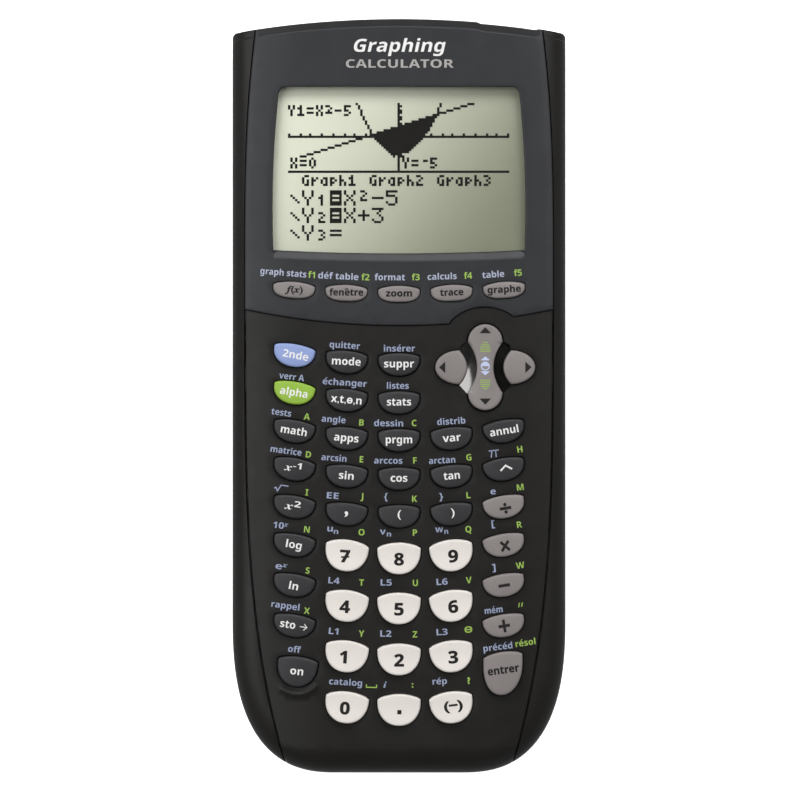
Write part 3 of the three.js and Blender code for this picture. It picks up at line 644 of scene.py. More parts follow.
def moulded(name, colour, roughness, grain_mm=0.25, grain=0.12, mottle=0.06, **sockets):
    """Moulded plastic: a fine grain in its surface, cloudy gloss and a slightly uneven colour."""
    made = material(name, colour, roughness, **sockets)
    tree = made.node_tree
    darker, lighter = ([min(1, c * (1 + change)) for c in colour] for change in (-mottle, mottle))
    shaded(tree, spread(tree, noise(tree, TINT_MM), 0, 1), darker, lighter)
    gloss = spread(tree, noise(tree, GLOSS_MM), roughness - UNEVEN_GLOSS, roughness + UNEVEN_GLOSS)
    height = noise(tree, grain_mm, 2)
    bump = node(tree, "Bump", {"Strength": grain, "Distance": GRAIN_DEPTH * MM, "Height": height})
    shader = tree.nodes["Principled BSDF"]
    tree.links.new(gloss, shader.inputs["Roughness"])
    tree.links.new(bump.outputs["Normal"], shader.inputs["Normal"])
    return made


CASE = moulded("case_plastic", (0.0125, 0.0118, 0.011), 0.38, grain=0.2)
BACK = moulded("back_plastic", (0.0095, 0.009, 0.0084), 0.5, grain_mm=0.45, grain=0.6)
BEZEL = moulded("bezel_plastic", (0.029, 0.030, 0.033), 0.36, grain=0.15)
DARK_KEY = moulded("dark_key_plastic", (0.031, 0.031, 0.033), 0.4)
GREY_KEY = moulded("grey_key_plastic", (0.21, 0.19, 0.186), 0.4)
WHITE_KEY = moulded("white_key_plastic", (0.70, 0.66, 0.62), 0.38, mottle=0.015)
BLUE_KEY = moulded("blue_key_plastic", (0.24, 0.31, 0.55), 0.38)
GREEN_KEY = moulded("green_key_plastic", (0.255, 0.42, 0.054), 0.38)
RUBBER = moulded("mat_rubber", (0.03, 0.03, 0.032), 0.75, grain=0.4)
FOOT_RUBBER = moulded("foot_rubber", (0.02, 0.02, 0.02), 0.85, grain=0.6)
WHITE_INK = moulded("white_ink", (0.72, 0.71, 0.7), 0.5, mottle=0.02)
GREY_INK = moulded("grey_ink", (0.34, 0.33, 0.32), 0.5, mottle=0.02)
BLACK_INK = moulded("black_ink", (0.012, 0.01, 0.01), 0.5)
BLUE_INK = moulded("blue_ink", (0.28, 0.32, 0.45), 0.5, mottle=0.02)
LIGHT_BLUE_INK = moulded("light_blue_ink", (0.36, 0.39, 0.5), 0.5, mottle=0.02)
GREEN_INK = moulded("green_ink", (0.28, 0.43, 0.085), 0.5, mottle=0.02)
PALE_INK = moulded("pale_blue_ink", (0.45, 0.51, 0.7), 0.5, mottle=0.02)
STEEL = moulded("steel", (0.6, 0.6, 0.62), 0.3, Metallic=1.0)
SOCKET_METAL = moulded("socket_metal", (0.5, 0.49, 0.47), 0.28, Metallic=1.0)
JACK_PLASTIC = moulded("jack_plastic", (0.015, 0.015, 0.015), 0.5)
BOARD = moulded("board_lacquer", (0.01, 0.09, 0.04), 0.3, mottle=0.2, grain_mm=0.8)
CELL_SLEEVE = moulded("cell_sleeve", (0.04, 0.12, 0.3), 0.25)
CELL_BAND = moulded("cell_band", (0.6, 0.6, 0.6), 0.3)
TRIM = moulded("trim_plastic", (0.02, 0.02, 0.02), 0.4, grain=0.15)
PIXEL = moulded("display_pixel", (0.006, 0.0055, 0.004), 0.6)
GLOSS = moulded("gloss_insert", (0.22, 0.215, 0.21), 0.2, grain=0.02, Metallic=1.0)
# A darker copy of the gloss insert: painted shade for the right crescent, which is the same plastic as the left
# one.
SHADED_GLOSS_COPY = moulded("gloss_insert_painted_shade", (0.06, 0.058, 0.055), 0.2, grain=0.02, Metallic=1.0)
WINDOW = moulded("window_plastic", (0.02, 0.02, 0.02), 0.06, grain=0.02, Alpha=0.06)


def display_glass_with_painted_light():
    """The display's back glass, whose colour is painted light at its upper left corner and fades to painted
    shade at its lower right one.
    """
    made = moulded("display_glass_with_painted_light", (0.5, 0.52, 0.4), 0.45, grain_mm=0.12)
    tree = made.node_tree
    half_width, half_height, middle_y = (value * MM for value in DISPLAY.values())
    place = node(tree, "TexCoord", {}).outputs["Object"]
    shift = node(tree, "VectorMath", {0: place, 1: (0, middle_y, 0)}, operation="SUBTRACT").outputs["Vector"]
    # The direction in which the painted light falls off into painted shade.
    slope = (0.75 / half_width, -0.35 / half_height, 0)
    fade = node(tree, "VectorMath", {0: shift, 1: slope}, operation="DOT_PRODUCT").outputs["Value"]
    inputs = {"Value": fade, "From Min": -1, "From Max": 1}
    painted_light_ramp = node(tree, "MapRange", inputs, interpolation_type="SMOOTHSTEP").outputs["Result"]
    # Painted highlight and shade: lighter towards the upper left, darker towards the lower right.
    shaded(tree, painted_light_ramp, (0.82, 0.85, 0.69), (0.24, 0.255, 0.18))
    return made


DISPLAY_GLASS_PAINTED_LIGHT = display_glass_with_painted_light()

# Front shell.

OUTLINE = case_outline()
BEZEL_RIM = bezel_outline(BEZEL_GAP, -5 * PAST)


def side_line():
    """The casing's two sides and its round end, carried on past the display end."""
    right = OUTLINE[(OUTLINE[:, 0] > 0) & (OUTLINE[:, 1] < STRAIGHT_END_Y + 0.1)]
    right = right[np.argsort(right[:, 1] - 1e-3 * (HALF_WIDTH - right[:, 0]))]
    right = np.vstack([right, [(HALF_WIDTH, HALF_LENGTH + 20 * PAST)]])
    return np.vstack([right[::-1] * (-1, 1), right])


SIDE_LINE = side_line()


# The rows: cap kind, first column, the keys' y from the outermost column inwards, and their names.
KEY_ROWS = [
    ("function", 0, (26.73, 25.98, 25.73), "function_1 function_2 function_3 function_4 function_5"),
    ("small", 0, (10.31, 8.65, 8.06), "second mode delete"),
    ("small", 0, (0.92, -0.9, -1.49), "alpha variable stats"),
    ("small", 0, (-8.7, -10.49, -10.94), "math apps program vars clear"),
    ("small", 0, (-18.2, -19.95, -20.57), "inverse sin cos tan power"),
    ("small", 0, (-27.65, -29.44, -29.99), "square comma open_bracket close_bracket divide"),
]
SIDE_KEYS = [(-37.24, "log", "multiply"), (-47.29, "ln", "minus"), (-57.43, "store", "plus")]
DIGIT_ROWS = [
    ((-39.8, -40.55), "7 8 9"),
    ((-52.45, -53.08), "4 5 6"),
    ((-65.1, -65.86), "1 2 3"),
    ((-77.88, -78.51), "0 point negative"),
]
LARGE_KEYS = {"key_on": ("on", -25.6, -68.92, -6.7), "key_enter": ("enter", 26.05, -69.37, 0)}


def key_places():
    """Each key's name with its cap kind and its place: x, y and tilt."""
    found = {}

    def add(name, kind, column, y):
        found[f"key_{name}"] = (kind, COLUMNS[column], y, TILTS[kind][column])

    for kind, first, heights, names in KEY_ROWS:
        for column, name in enumerate(names.split(), first):
            add(name, kind, column, heights[min(column, len(COLUMNS) - 1 - column) - first])
    for y, left, right in SIDE_KEYS:
        add(left, "small", 0, y)
        add(right, "small", -1, y)
    for heights, names in DIGIT_ROWS:
        for column, name in enumerate(names.split(), 1):
            add(name, "digit", column, heights[column % 2 == 0])
    return found | LARGE_KEYS


KEY_PLACES = key_places()
ARROW_MIDDLE = SIDE_ARROW["reach"] - (SIDE_ARROW["outer"] - SIDE_ARROW["bulge"]) / 2


def well_rims(margin):
    """The outline of each key's well, by name."""
    rims = {}
    for name, (kind, x, y, tilt) in KEY_PLACES.items():
        rims[name] = turned(cap_outline(CAPS[kind], margin), x, y, tilt)
    x, y = ROCKER["x"], ROCKER["y"]
    rims["key_up_down"] = turned(rocker_outline(margin + ROCKER["swing"]), x, y, 0)
    rims["key_left"] = turned(side_arrow_outline(margin), x - ARROW_MIDDLE, y, 180)
    rims["key_right"] = turned(side_arrow_outline(margin), x + ARROW_MIDDLE, y, 0)
    return rims


def wells(on_bezel):
    """The rims of the wells in the bezel or the deck, and the lines round each that make its rounded edge."""
    rings = []
    for out, drop in WELL_FILLET:
        rims = well_rims(WELL_GAP + out).items()
        rings.append([Line(rim, drop) for name, rim in rims if name.startswith("key_function") == on_bezel])
    return rings[0], [line for ring in rings[1:] for line in ring]


def pillow(beyond):
    """How far the face has fallen towards its side grooves."""
    return PILLOW["drop"] * ramp(beyond, -PILLOW["width"], 0) ** 2


def guard_rib(points):
    """How far the rib under the on key stands out of the deck."""
    x, y = (points - (GUARD_RIB["x"], GUARD_RIB["y"])).T
    across = 1 - (np.abs(np.hypot(x, y) - GUARD_RIB["radius"]) / GUARD_RIB["half"]) ** 2
    turn = np.degrees(np.arctan2(y, x)) % 360
    low, high, fade = GUARD_RIB["low"], GUARD_RIB["high"], GUARD_RIB["fade"]
    ends = ramp(turn, low, low + fade) * ramp(-turn, -high, fade - high)
    return GUARD_RIB["height"] * np.clip(across, 0, 1) * np.sqrt(ends)


def rib_lines():
    turns = np.radians(np.linspace(GUARD_RIB["low"], GUARD_RIB["high"], POINTS["rib"]))
    radii = GUARD_RIB["radius"] + GUARD_RIB["half"] * np.array(GUARD_RIB["rows"])
    return [opened(on_circle(turns) * radius + (GUARD_RIB["x"], GUARD_RIB["y"])) for radius in radii]


def end_step(end):
    """How far the surface has stepped down towards the display end."""
    return END_STEP["drop"] * ramp(-end, -END_STEP["start"], -END_STEP["end"]) ** 2


def end_lines(low_x, high_x):
    """The lines that the step towards the display end follows."""
    x = np.linspace(low_x, high_x, max(8, round(high_x - low_x)))
    slope = np.linspace(END_STEP["end"], END_STEP["start"], POINTS["step"])
    gaps = (0.7, slope[0] - 0.1, *slope, slope[-1] + 0.1)
    return [opened(np.column_stack([x, top_arc_y(x) - gap])) for gap in gaps]


def deck_z(points):
    """The outer surface of the side bands and the key deck."""
    x, y = points.T
    side = distance(points, SIDE_LINE)
    beyond = np.abs(x) - face_half_width(y)
    band = BAND_Z - roll(side, **BAND_ROLL)
    face = np.minimum(FACE_Z - pillow(beyond), FACE_Z - roll(side, **FACE_ROLL))
    z = np.where(beyond > 0, band, face)
    z -= GROOVE["depth"] * ramp(-np.abs(beyond), -GROOVE["half"], -GROOVE["floor"])
    end = top_arc_y(x) - y
    return z - roll(end, **END_ROLL) - end_step(end) + guard_rib(points)


def crescent(side, spare=0.0):
    """The outline of the sunken crescent between the rocker and one of the side arrow keys."""
    along = np.linspace(-1, 1, POINTS["crescent"])
    margin = WELL_GAP - spare
    longer = CRESCENT["spare"] * along
    near = ROCKER["waist"] + margin + (ROCKER["lobe"] - ROCKER["waist"]) * along ** 2
    far = ARROW_MIDDLE - (SIDE_ARROW["bulge"] + margin) * (1 - along ** 2)
    rocker_side = np.column_stack([near, ROCKER["shoulder"] * along + longer])
    arrow_side = np.column_stack([far, SIDE_ARROW["half_height"] * along + longer])[::-1]
    rim = np.vstack([rocker_side, arrow_side]) * (side, 1)
    return rim[::side] + (ROCKER["x"], ROCKER["y"])


def crescent_z(points, side):
    """The left crescent rises away from the rocker, and the right one is level."""
    x, y = (points - (ROCKER["x"], ROCKER["y"])).T
    low, slope = CRESCENT["left" if side < 0 else "right"]
    return low + slope * np.hypot(x, y)


def crescents():
    thickness = CRESCENT["thickness"]
    # The left crescent's gloss catches a lamp. The right one takes the darker copy of that gloss, which paints
    # shade on it.
    for name, side, look in (("left", -1, GLOSS), ("right", 1, SHADED_GLOSS_COPY)):
        def top(points):
            return crescent_z(points, side)

        rim, spacing = Line(crescent(side)), SPACING["crescent"]
        solid = slab([rim], [], spacing, top, lambda points: top(points) - thickness)
        piece(f"crescent_{name}", solid, look)


def shell_top(points):
    z = np.where(inside(points, BEZEL_RIM), BED_Z, deck_z(points))
    for side in (1, -1):
        sunken = inside(points, crescent(side, STEP / 2))
        z = np.where(sunken, crescent_z(points, side) - CRESCENT["thickness"] - STEP, z)
    return z


def shell_under(points):
    edge = rim_distance(points, OUTLINE)
    under = np.where(edge < WALL, LIP_Z + 0.1, deck_z(points) - SHELL_THICKNESS)
    return np.where(edge < LIP_INSET, SEAM_HIGH_Z, under)


def front_shell():
    rims, lines = wells(on_bezel=False)
    lines += [Line(case_outline(inset)) for inset in FRONT_RINGS]
    offsets = (-GROOVE["half"], -GROOVE["floor"], 0, GROOVE["floor"], GROOVE["half"])
    lines += [opened(groove_line(side, offset)) for side in (1, -1) for offset in offsets]
    lines += [Line(bezel_outline(BEZEL_GAP + offset, -5 * PAST)) for offset in (-STEP, STEP)]
    lines += rib_lines() + end_lines(*END_STEP_SIDE) + end_lines(-END_STEP_SIDE[1], -END_STEP_SIDE[0])
    lines += [Line(crescent(side, STEP)) for side in (1, -1)]
    opening = Line(bezel_outline(-BED_LEDGE, WALL + 0.3))
    solid = slab([Line(OUTLINE), opening, *rims], lines, SPACING["front"], shell_top, shell_under)
    shell = piece("front_shell", solid, CASE, replaces=["front_case"])
    cut(shell, socket_cutters())


def socket_cutters():
    """The room for both sockets, as solids that are cut from the display end."""
    half = DATA_SOCKET["width"] / 2 + SOCKET_MARGIN
    high = DATA_SOCKET["height"] / 2 + SOCKET_MARGIN
    x, z = DATA_SOCKET["x"], DATA_SOCKET["z"]
    data = brick((x - half, SOCKET_ROOM["low"], z - high), (x + half, SOCKET_ROOM["high"], z + high))
    radius = LINK_SOCKET["radius"] + SOCKET_MARGIN
    link = lathe([(0, -20), (radius, -20), (radius, 5), (0, 5)])
    return [data, laid_down(link, LINK_PLACE)]


def cut(target, cutters):
    """Takes the cutters away from a piece for good."""
    for solid in cutters:
        tool = new_object("cutter", solid)
        modifier = target.modifiers.new("cut", "BOOLEAN")
        modifier.operation, modifier.solver, modifier.object = "DIFFERENCE", "EXACT", tool
        evaluated = target.evaluated_get(bpy.context.evaluated_depsgraph_get())
        result = bpy.data.meshes.new_from_object(evaluated)
        target.modifiers.clear()
        target.data = result
        bpy.data.objects.remove(tool)
    target.data.name = target.name


# Bezel.

def bezel_z(points):
    """The bezel's outer surface, which slopes down to the sill under the display's opening."""
    x, y = points.T
    foot = screen_foot()
    end_x, end = foot[-1, 0], SILL["end"]
    slope = SILL["drop"] * ramp(-distance(points, foot), -SILL["width"], 0)
    below = y < SCREEN["foot"] + SCREEN["sag"] * (x / SCREEN["waist"]) ** 2 + 0.05
    sill = np.where(below, slope, 0) * ramp(-np.abs(x), -end_x - end, end - end_x)
    pillowed = BEZEL_Z - BEZEL_PILLOW * pillow(np.abs(x) - face_half_width(y))
    return pillowed - end_step(top_arc_y(x) - y) - sill


def bezel_under(points):
    return np.where(rim_distance(points, BEZEL_EDGE) < BEZEL_WALL, BED_Z + 0.05, BEZEL_UNDER_Z)


BEZEL_EDGE = bezel_outline(0, BEZEL_END)


def screen_bezel():
    rims, lines = wells(on_bezel=True)
    rings = [Line(screen_outline(out), drop) for out, drop in SCREEN_FILLET]
    borders = [Line(bezel_outline(-inset, BEZEL_END + inset), drop) for inset, drop in BEZEL_FILLET]
    lines = [*borders[1:], *rings[1:], *lines, *end_lines(-35, 35), *sill_lines()]
    solid = slab([borders[0], rings[0], *rims], lines, SPACING["front"], bezel_z, bezel_under)
    piece("bezel_plate", solid, BEZEL, replaces=["screen_bezel"])


def sill_lines():
    """The lines that the slope under the display's opening follows, along it and down its two ends."""
    foot, end = screen_foot(), SILL["end"]
    lines = [opened(foot - (0, down)) for down in SILL["rows"]]
    end_x, end_y = foot[-1]
    for x in (end_x - end, end_x + end, -end_x - end, -end_x + end):
        lines.append(opened(dense([(x, end_y - SILL["rows"][-1]), (x, end_y - 0.4)], 0.3, closed=False)))
    return lines


def end_trim():
    """The dark strip between the bezel's step and the display end."""
    x = np.linspace(-END_TRIM["half"], END_TRIM["half"], POINTS["trim"])
    outer = np.column_stack([x, top_arc_y(x) - END_TRIM["low"]])[::-1]
    inner = np.column_stack([x, top_arc_y(x) - END_STEP["end"] + 2 * STEP])

    def top(points):
        return bezel_z(points) + END_TRIM["rise"]

    rim, thickness = Line(np.vstack([inner, outer])), END_TRIM["thickness"]
    solid = slab([rim], [], SPACING["trim"], top, lambda points: top(points) - thickness)
    piece("end_trim", solid, TRIM)


# Keys and their lettering.

def crown(points, cap):
    """The height of a cap's domed or dished top."""
    across, along = cap["crown"]
    x, y = (points / (cap["width"] / 2, cap["height"] / 2)).T
    return cap["top"] - across * x ** 2 - along * y ** 2 - max(0, -along)


def rounded_top(outline, surface, half):
    """A key's solid: its outline, with a rounded edge under the given surface."""
    rings = [Line(outline * (1 - inset / half)) for inset in CAP_RINGS]

    def top(points):
        return surface(points) - roll(rim_distance(points, outline), CAP_FILLET, CAP_FILLET)

    return slab([Line(outline)], rings, SPACING["cap"], top, KEY_UNDER_Z)


def placed(solid, x, y, degrees):
    points, faces = solid
    return np.column_stack([turned(points[:, :2], x, y, degrees), points[:, 2]]), faces


def bold(text):
    """The same text in the font's bold letters and figures."""
    for first, last, start in BOLD_RANGES:
        text = "".join(chr(start + ord(c) - ord(first)) if first <= c <= last else c for c in text)
    return text


def glyphs(text, slant=0.0):
    """Flat triangles of text one unit high, from the built-in font, standing on y = 0."""
    curve = bpy.data.curves.new("lettering", "FONT")
    curve.body, curve.size, curve.shear, curve.resolution_u = text, 1, slant, 4
    holder = bpy.data.objects.new("lettering", curve)
    bpy.context.scene.collection.objects.link(holder)
    bpy.context.view_layer.update()
    mesh = holder.to_mesh()
    mesh.calc_loop_triangles()
    points = np.array([v.co[:2] for v in mesh.vertices])
    triangles = np.array([t.vertices[:] for t in mesh.loop_triangles])
    holder.to_mesh_clear()
    bpy.data.objects.remove(holder)
    bpy.data.curves.remove(curve)
    _, first, same = np.unique(np.round(points, 5), axis=0, return_index=True, return_inverse=True)
    points, triangles = points[first], same.reshape(-1)[triangles]
    distinct = [len(set(t)) == 3 for t in triangles.tolist()]
    return points, facing_up(points, triangles[distinct])


def heavier(shape, amount):
    """The same flat shape with its edge moved out by an amount."""
    points, triangles = shape
    sides = {(t[i], t[(i + 1) % 3]) for t in triangles.tolist() for i in range(3)}
    push = np.zeros(points.shape)
    for a, b in sides:
        if (b, a) not in sides:
            along = points[b] - points[a]
            out = np.array([along[1], -along[0]]) / max(np.hypot(*along), 1e-9)
            push[a] += out
            push[b] += out
    size = np.maximum((push ** 2).sum(axis=1, keepdims=True), 1)
    return points + 2 * amount * push / size, triangles


def right_edge(text):
    return glyphs(bold(text))[0][:, 0].max() if text else 0.0


def accent_marks(text):
    """The accents of a text as flat shapes, each a slanted bar over its letter."""
    marks = []
    plain = unaccented(text)
    for i, character in enumerate(text):
        for low_x, low_y, high_x, high_y in ACCENTS.get(character, ("", []))[1]:
            middle = (right_edge(plain[:i]) + right_edge(plain[:i + 1])) / 2
            ends = [(low_x, low_y, -1), (low_x, low_y, 1), (high_x, high_y, 1), (high_x, high_y, -1)]
            marks.append(polygon([(x + side * ACCENT_HALF + middle, y) for x, y, side in ends]))
    return marks


def unaccented(text):
    return "".join(ACCENTS.get(c, (c,))[0] for c in text)


def lettering(text, size, width=0.0, slant=0.0, weight=0.0, middle="words"):
    """Flat shapes of a line of text about its own middle, stretched to a width if one is given.

    What follows a "|" is raised and what follows a "_" is lowered, both smaller."""
    shapes = []
    for mark, y in SCRIPTS.items():
        if mark in text:
            text, script = text.split(mark)
            points, triangles = glyphs(bold(script))
            shapes.append((points * SCRIPT_SIZE + (right_edge(text) + SCRIPT_GAP, y), triangles))
    shapes.append(glyphs(bold(unaccented(text)), slant))
    shapes = [heavier(shape, weight) for shape in shapes + accent_marks(text)]
    every = np.vstack([points for points, _ in shapes])
    low, high = every.min(axis=0), every.max(axis=0)
    middle_y = X_HEIGHT / 2 if middle == "words" else (low[1] + high[1]) / 2
    stretch = width / (high[0] - low[0]) if width else size
    centre = np.array([(low[0] + high[0]) / 2, middle_y])
    return [((points - centre) * (stretch, size), triangles) for points, triangles in shapes]


def polygon(points):
    """A convex shape as flat triangles."""
    points = np.array(points, float)
    return points, facing_up(points, np.array([(0, i, i + 1) for i in range(1, len(points) - 1)]))


def moved(shape, x, y, degrees=0.0):
    points, triangles = shape
    return turned(points, x, y, degrees), triangles


def bar(x, y, width, height, degrees=0.0):
    corners = np.array([(-1, -1), (1, -1), (1, 1), (-1, 1)]) * (width / 2, height / 2)
    return moved(polygon(corners), x, y, degrees)


def strokes(line, width):
    """A line drawn as one bar for each of its stretches."""
    found = []
    for (ax, ay), (bx, by) in zip(line, line[1:]):
        length, turn = math.hypot(bx - ax, by - ay), math.degrees(math.atan2(by - ay, bx - ax))
        found.append(bar((ax + bx) / 2, (ay + by) / 2, length + width, width, turn))
    return found


def moved_all(shapes, x, y, degrees=0.0):
    return [moved(shape, x, y, degrees) for shape in shapes]


def refined(points, triangles, step):
    """The same flat shape with every edge longer than a step halved, until none is left."""
    points = points.tolist()
    while True:
        halves, finer = {}, []

        def half(a, b):
            key = (min(a, b), max(a, b))
            if key not in halves and math.dist(points[a], points[b]) > step:
                halves[key] = len(points)
                points.append([(points[a][i] + points[b][i]) / 2 for i in (0, 1)])
            return halves.get(key)

        for a, b, c in triangles:
            corners = [(a, half(a, b)), (b, half(b, c)), (c, half(c, a))]
            loop = [i for pair in corners for i in pair if i is not None]
            split = [pair for pair in corners if pair[1] is not None]
            if len(split) == 3:
                (a, ab), (b, bc), (c, ca) = corners
                finer += [(a, ab, ca), (ab, b, bc), (ca, bc, c), (ab, bc, ca)]
            elif split:
                start = loop.index(split[0][1])
                fan = loop[start:] + loop[:start]
                finer += [(fan[0], fan[i], fan[i + 1]) for i in range(1, len(fan) - 1)]
            else:
                finer.append((a, b, c))
        triangles = finer
        if not halves:
            return np.array(points), np.array(triangles)


def ink(shapes, surface):
    """Thin solids of print that lie on a surface."""
    solids = []
    for shape in shapes:
        points, triangles = refined(*shape, INK_STEP)
        z = heights(surface, points)
        solids.append(between(points, triangles, z + INK_HEIGHT, z - INK_DEPTH))
    return joined(solids)


LEGENDS = {
    "function_1": ("𝒇(𝒙)", 4.5), "function_2": ("fenêtre", 8.5), "function_3": ("zoom", 6.6),
    "function_4": ("trace", 5.85), "function_5": ("graphe", 8.4), "second": ("2nde", 6.43),
    "mode": ("mode", 7.2), "delete": ("suppr", 7.49), "alpha": ("alpha", 6.91),
    "variable": ("x,t,o,n", 7.68), "stats": ("stats", 6.05), "math": ("math", 6.53), "apps": ("apps", 6.14),
    "program": ("prgm", 6.62), "vars": ("var", 4.51), "clear": ("annul", 7.2), "inverse": ("𝒙|-1", 4.2),
    "sin": ("sin", 3.7), "cos": ("cos", 4.2), "tan": ("tan", 4.05), "square": ("𝒙|2", 4.0),
    "comma": (",", 0.9), "open_bracket": ("(", 0.9), "close_bracket": (")", 0.9), "divide": ("÷", 2.9),
    "log": ("log", 3.94), "multiply": ("×", 2.5), "ln": ("ln", 2.3), "minus": ("−", 2.9),
    "store": ("sto →", 6.9), "plus": ("+", 2.9), "negative": ("(−)", 4.75), "on": ("on", 3.26),
    "enter": ("entrer", 7.9),
}
NEGATIVE_WEIGHT = 0.045
SYMBOL_WEIGHT = 0.012
LEGEND_TILTS = {
    "function_1": -2, "function_2": -0.5, "function_5": 3, "second": -11, "log": -10, "ln": -11, "mode": -3,
    "on": -7, "alpha": -10, "enter": 8,
}
LEGEND_SHIFTS = {
    "enter": (0.1, 0.8), "second": (0.45, 0), "power": (0.5, 0.4), "inverse": (-0.3, 0.2),
    "square": (-0.35, 0), "open_bracket": (0.1, 0.35), "close_bracket": (0.3, 0.25),
    "divide": (0.25, -0.35), "ln": (0, -0.3),
    "negative": (0.45, 0.2), "multiply": (0.2, -0.2),
}
SYMBOL_SIZES = {
    "divide": 6.3, "multiply": 6, "minus": 6.3, "plus": 6.3,
    "comma": 5.4, "open_bracket": 2.6, "close_bracket": 2.6, "negative": 3.0,
}
KEY_LOOKS = {
    "blue": (BLUE_KEY, "blue_key", WHITE_INK),
    "green": (GREEN_KEY, "green_key", WHITE_INK),
    "white": (WHITE_KEY, "white_key", BLACK_INK),
    "grey": (GREY_KEY, "grey_key", BLACK_INK),
    "dark": (DARK_KEY, "dark_key", WHITE_INK),
}
GREY_NAMES = {"divide", "multiply", "minus", "plus", "enter"}


def key_look(short, kind):
    if short in ("second", "alpha"):
        return KEY_LOOKS["blue" if short == "second" else "green"]
    if kind == "digit":
        return KEY_LOOKS["white"]
    return KEY_LOOKS["grey" if kind == "function" or short in GREY_NAMES else "dark"]


SEVEN_TIP = (0.1, -0.2, 2.1, 0.42, 6)
POINT_SQUARE = (0.1, -0.5, 1.05, 1.05)
VARIABLE_BAR = (1, 0, 0.9, 0.3)
THETA_BAR = (0, 0, 1.4, 0.28)
POWER_SIGN = {"line": [(-1.3, -0.5), (0, 0.5), (1.3, -0.5)], "pen": 0.42}


def digit_shapes(short, tilt):
    shapes = lettering(short, DIGIT["size"], weight=DARK_WEIGHT, middle="box")
    shapes = [(points * (DIGIT["stretch"], 1), triangles) for points, triangles in shapes]
    if short == "7":
        shapes.append(bar(*SEVEN_TIP))
    left = DIGIT["one_left"] if short == "1" else 0
    return moved_all(shapes, DIGIT["shift"] * tilt - left, DIGIT["y"])


def legend(short, kind, tilt):
    """A key's print, about the key's own middle and along its own axes."""
    if short.isdigit():
        return moved_all(digit_shapes(short, tilt), 0, 0, -tilt / 2)
    if short == "point":
        return [bar(*POINT_SQUARE)]
    if short == "power":
        return moved_all(strokes(*POWER_SIGN.values()), *LEGEND_SHIFTS[short])
    text, width = LEGENDS[short]
    weight = DARK_WEIGHT if key_look(short, kind)[2] == BLACK_INK else 0
    if short == "negative":
        weight = NEGATIVE_WEIGHT
    if short in SYMBOL_SIZES:
        weight = max(weight, SYMBOL_WEIGHT)
        shapes = lettering(text, SYMBOL_SIZES[short], width, weight=weight, middle="box")
    else:
        size = FUNCTION_LEGEND_SIZE if kind == "function" else LEGEND_SIZE
        shapes = lettering(text, size, width, weight=weight)
    if short == "variable":
        shapes.append(bar(*VARIABLE_BAR))
    return moved_all(shapes, *LEGEND_SHIFTS.get(short, (0, 0)), LEGEND_TILTS.get(short, tilt) - tilt)


def cap_keys():
    caps = {}
    for kind, cap in CAPS.items():
        caps[kind] = rounded_top(cap_outline(cap), lambda points: crown(points, cap), cap["height"] / 2)
    for name, (kind, x, y, tilt) in KEY_PLACES.items():
        short = name.removeprefix("key_")
        plastic, slot, print_ink = key_look(short, kind)
        piece(f"cap_{short}", placed(caps[kind], x, y, tilt), plastic, name, [name])
        flat = ink(legend(short, kind, tilt), lambda points: crown(points, CAPS[kind]))
        piece(f"legend_{short}", placed(flat, x, y, tilt), print_ink, name)


ARROWS = {"up": 9.3, "down": -8.6, "side": 10.8, "width": 2.9, "height": 1.55}


def arrow(x, y, degrees, width=ARROWS["width"], height=ARROWS["height"]):
    corners = [(-width / 2, -height / 2), (width / 2, -height / 2), (0, height / 2)]
    return moved(polygon(corners), x, y, degrees)


def rocker_z(points):
    return ROCKER["top"] - ROCKER["fall"] * (points[:, 0] / ROCKER["lobe"]) ** 2


def side_arrow_z(points):
    return SIDE_ARROW["top"] - SIDE_ARROW["fall"] * (points[:, 1] / SIDE_ARROW["half_height"]) ** 2


SCROLL_MARKS = {"ends": ((6.2, -0.55), (-5.35, 0.53)), "widths": (1.2, 2.1, 2.5, 2.6, 2.6), "stripe": 0.21}
CONTRAST_MARK = {"outer": 1.12, "inner": 0.85, "y": 0.3, "head": (2.4, 1), "heads": ((1.95, 0), (-1.8, 180))}


def scroll_marks():
    """Striped arrowheads towards each end of the rocker, in green."""
    marks = []
    for tip, back in SCROLL_MARKS["ends"]:
        for i, width in enumerate(SCROLL_MARKS["widths"]):
            marks.append(bar(0, tip + back * i, width, SCROLL_MARKS["stripe"]))
    return marks


def contrast_marks():
    """The half-filled disc between two arrowheads, in pale blue."""
    outer, inner = CONTRAST_MARK["outer"], CONTRAST_MARK["inner"]
    shapes = [polygon(on_circle(np.radians(np.linspace(0, 180, POINTS["disc"]))) * outer)]
    below = on_circle(np.radians(np.linspace(180, 360, POINTS["ring"])))
    for a, b in zip(below[:-1], below[1:]):
        shapes.append(polygon([a * inner, a * outer, b * outer, b * inner]))
    shapes += [arrow(0, y, turn, *CONTRAST_MARK["head"]) for y, turn in CONTRAST_MARK["heads"]]
    return moved_all(shapes, 0, CONTRAST_MARK["y"])


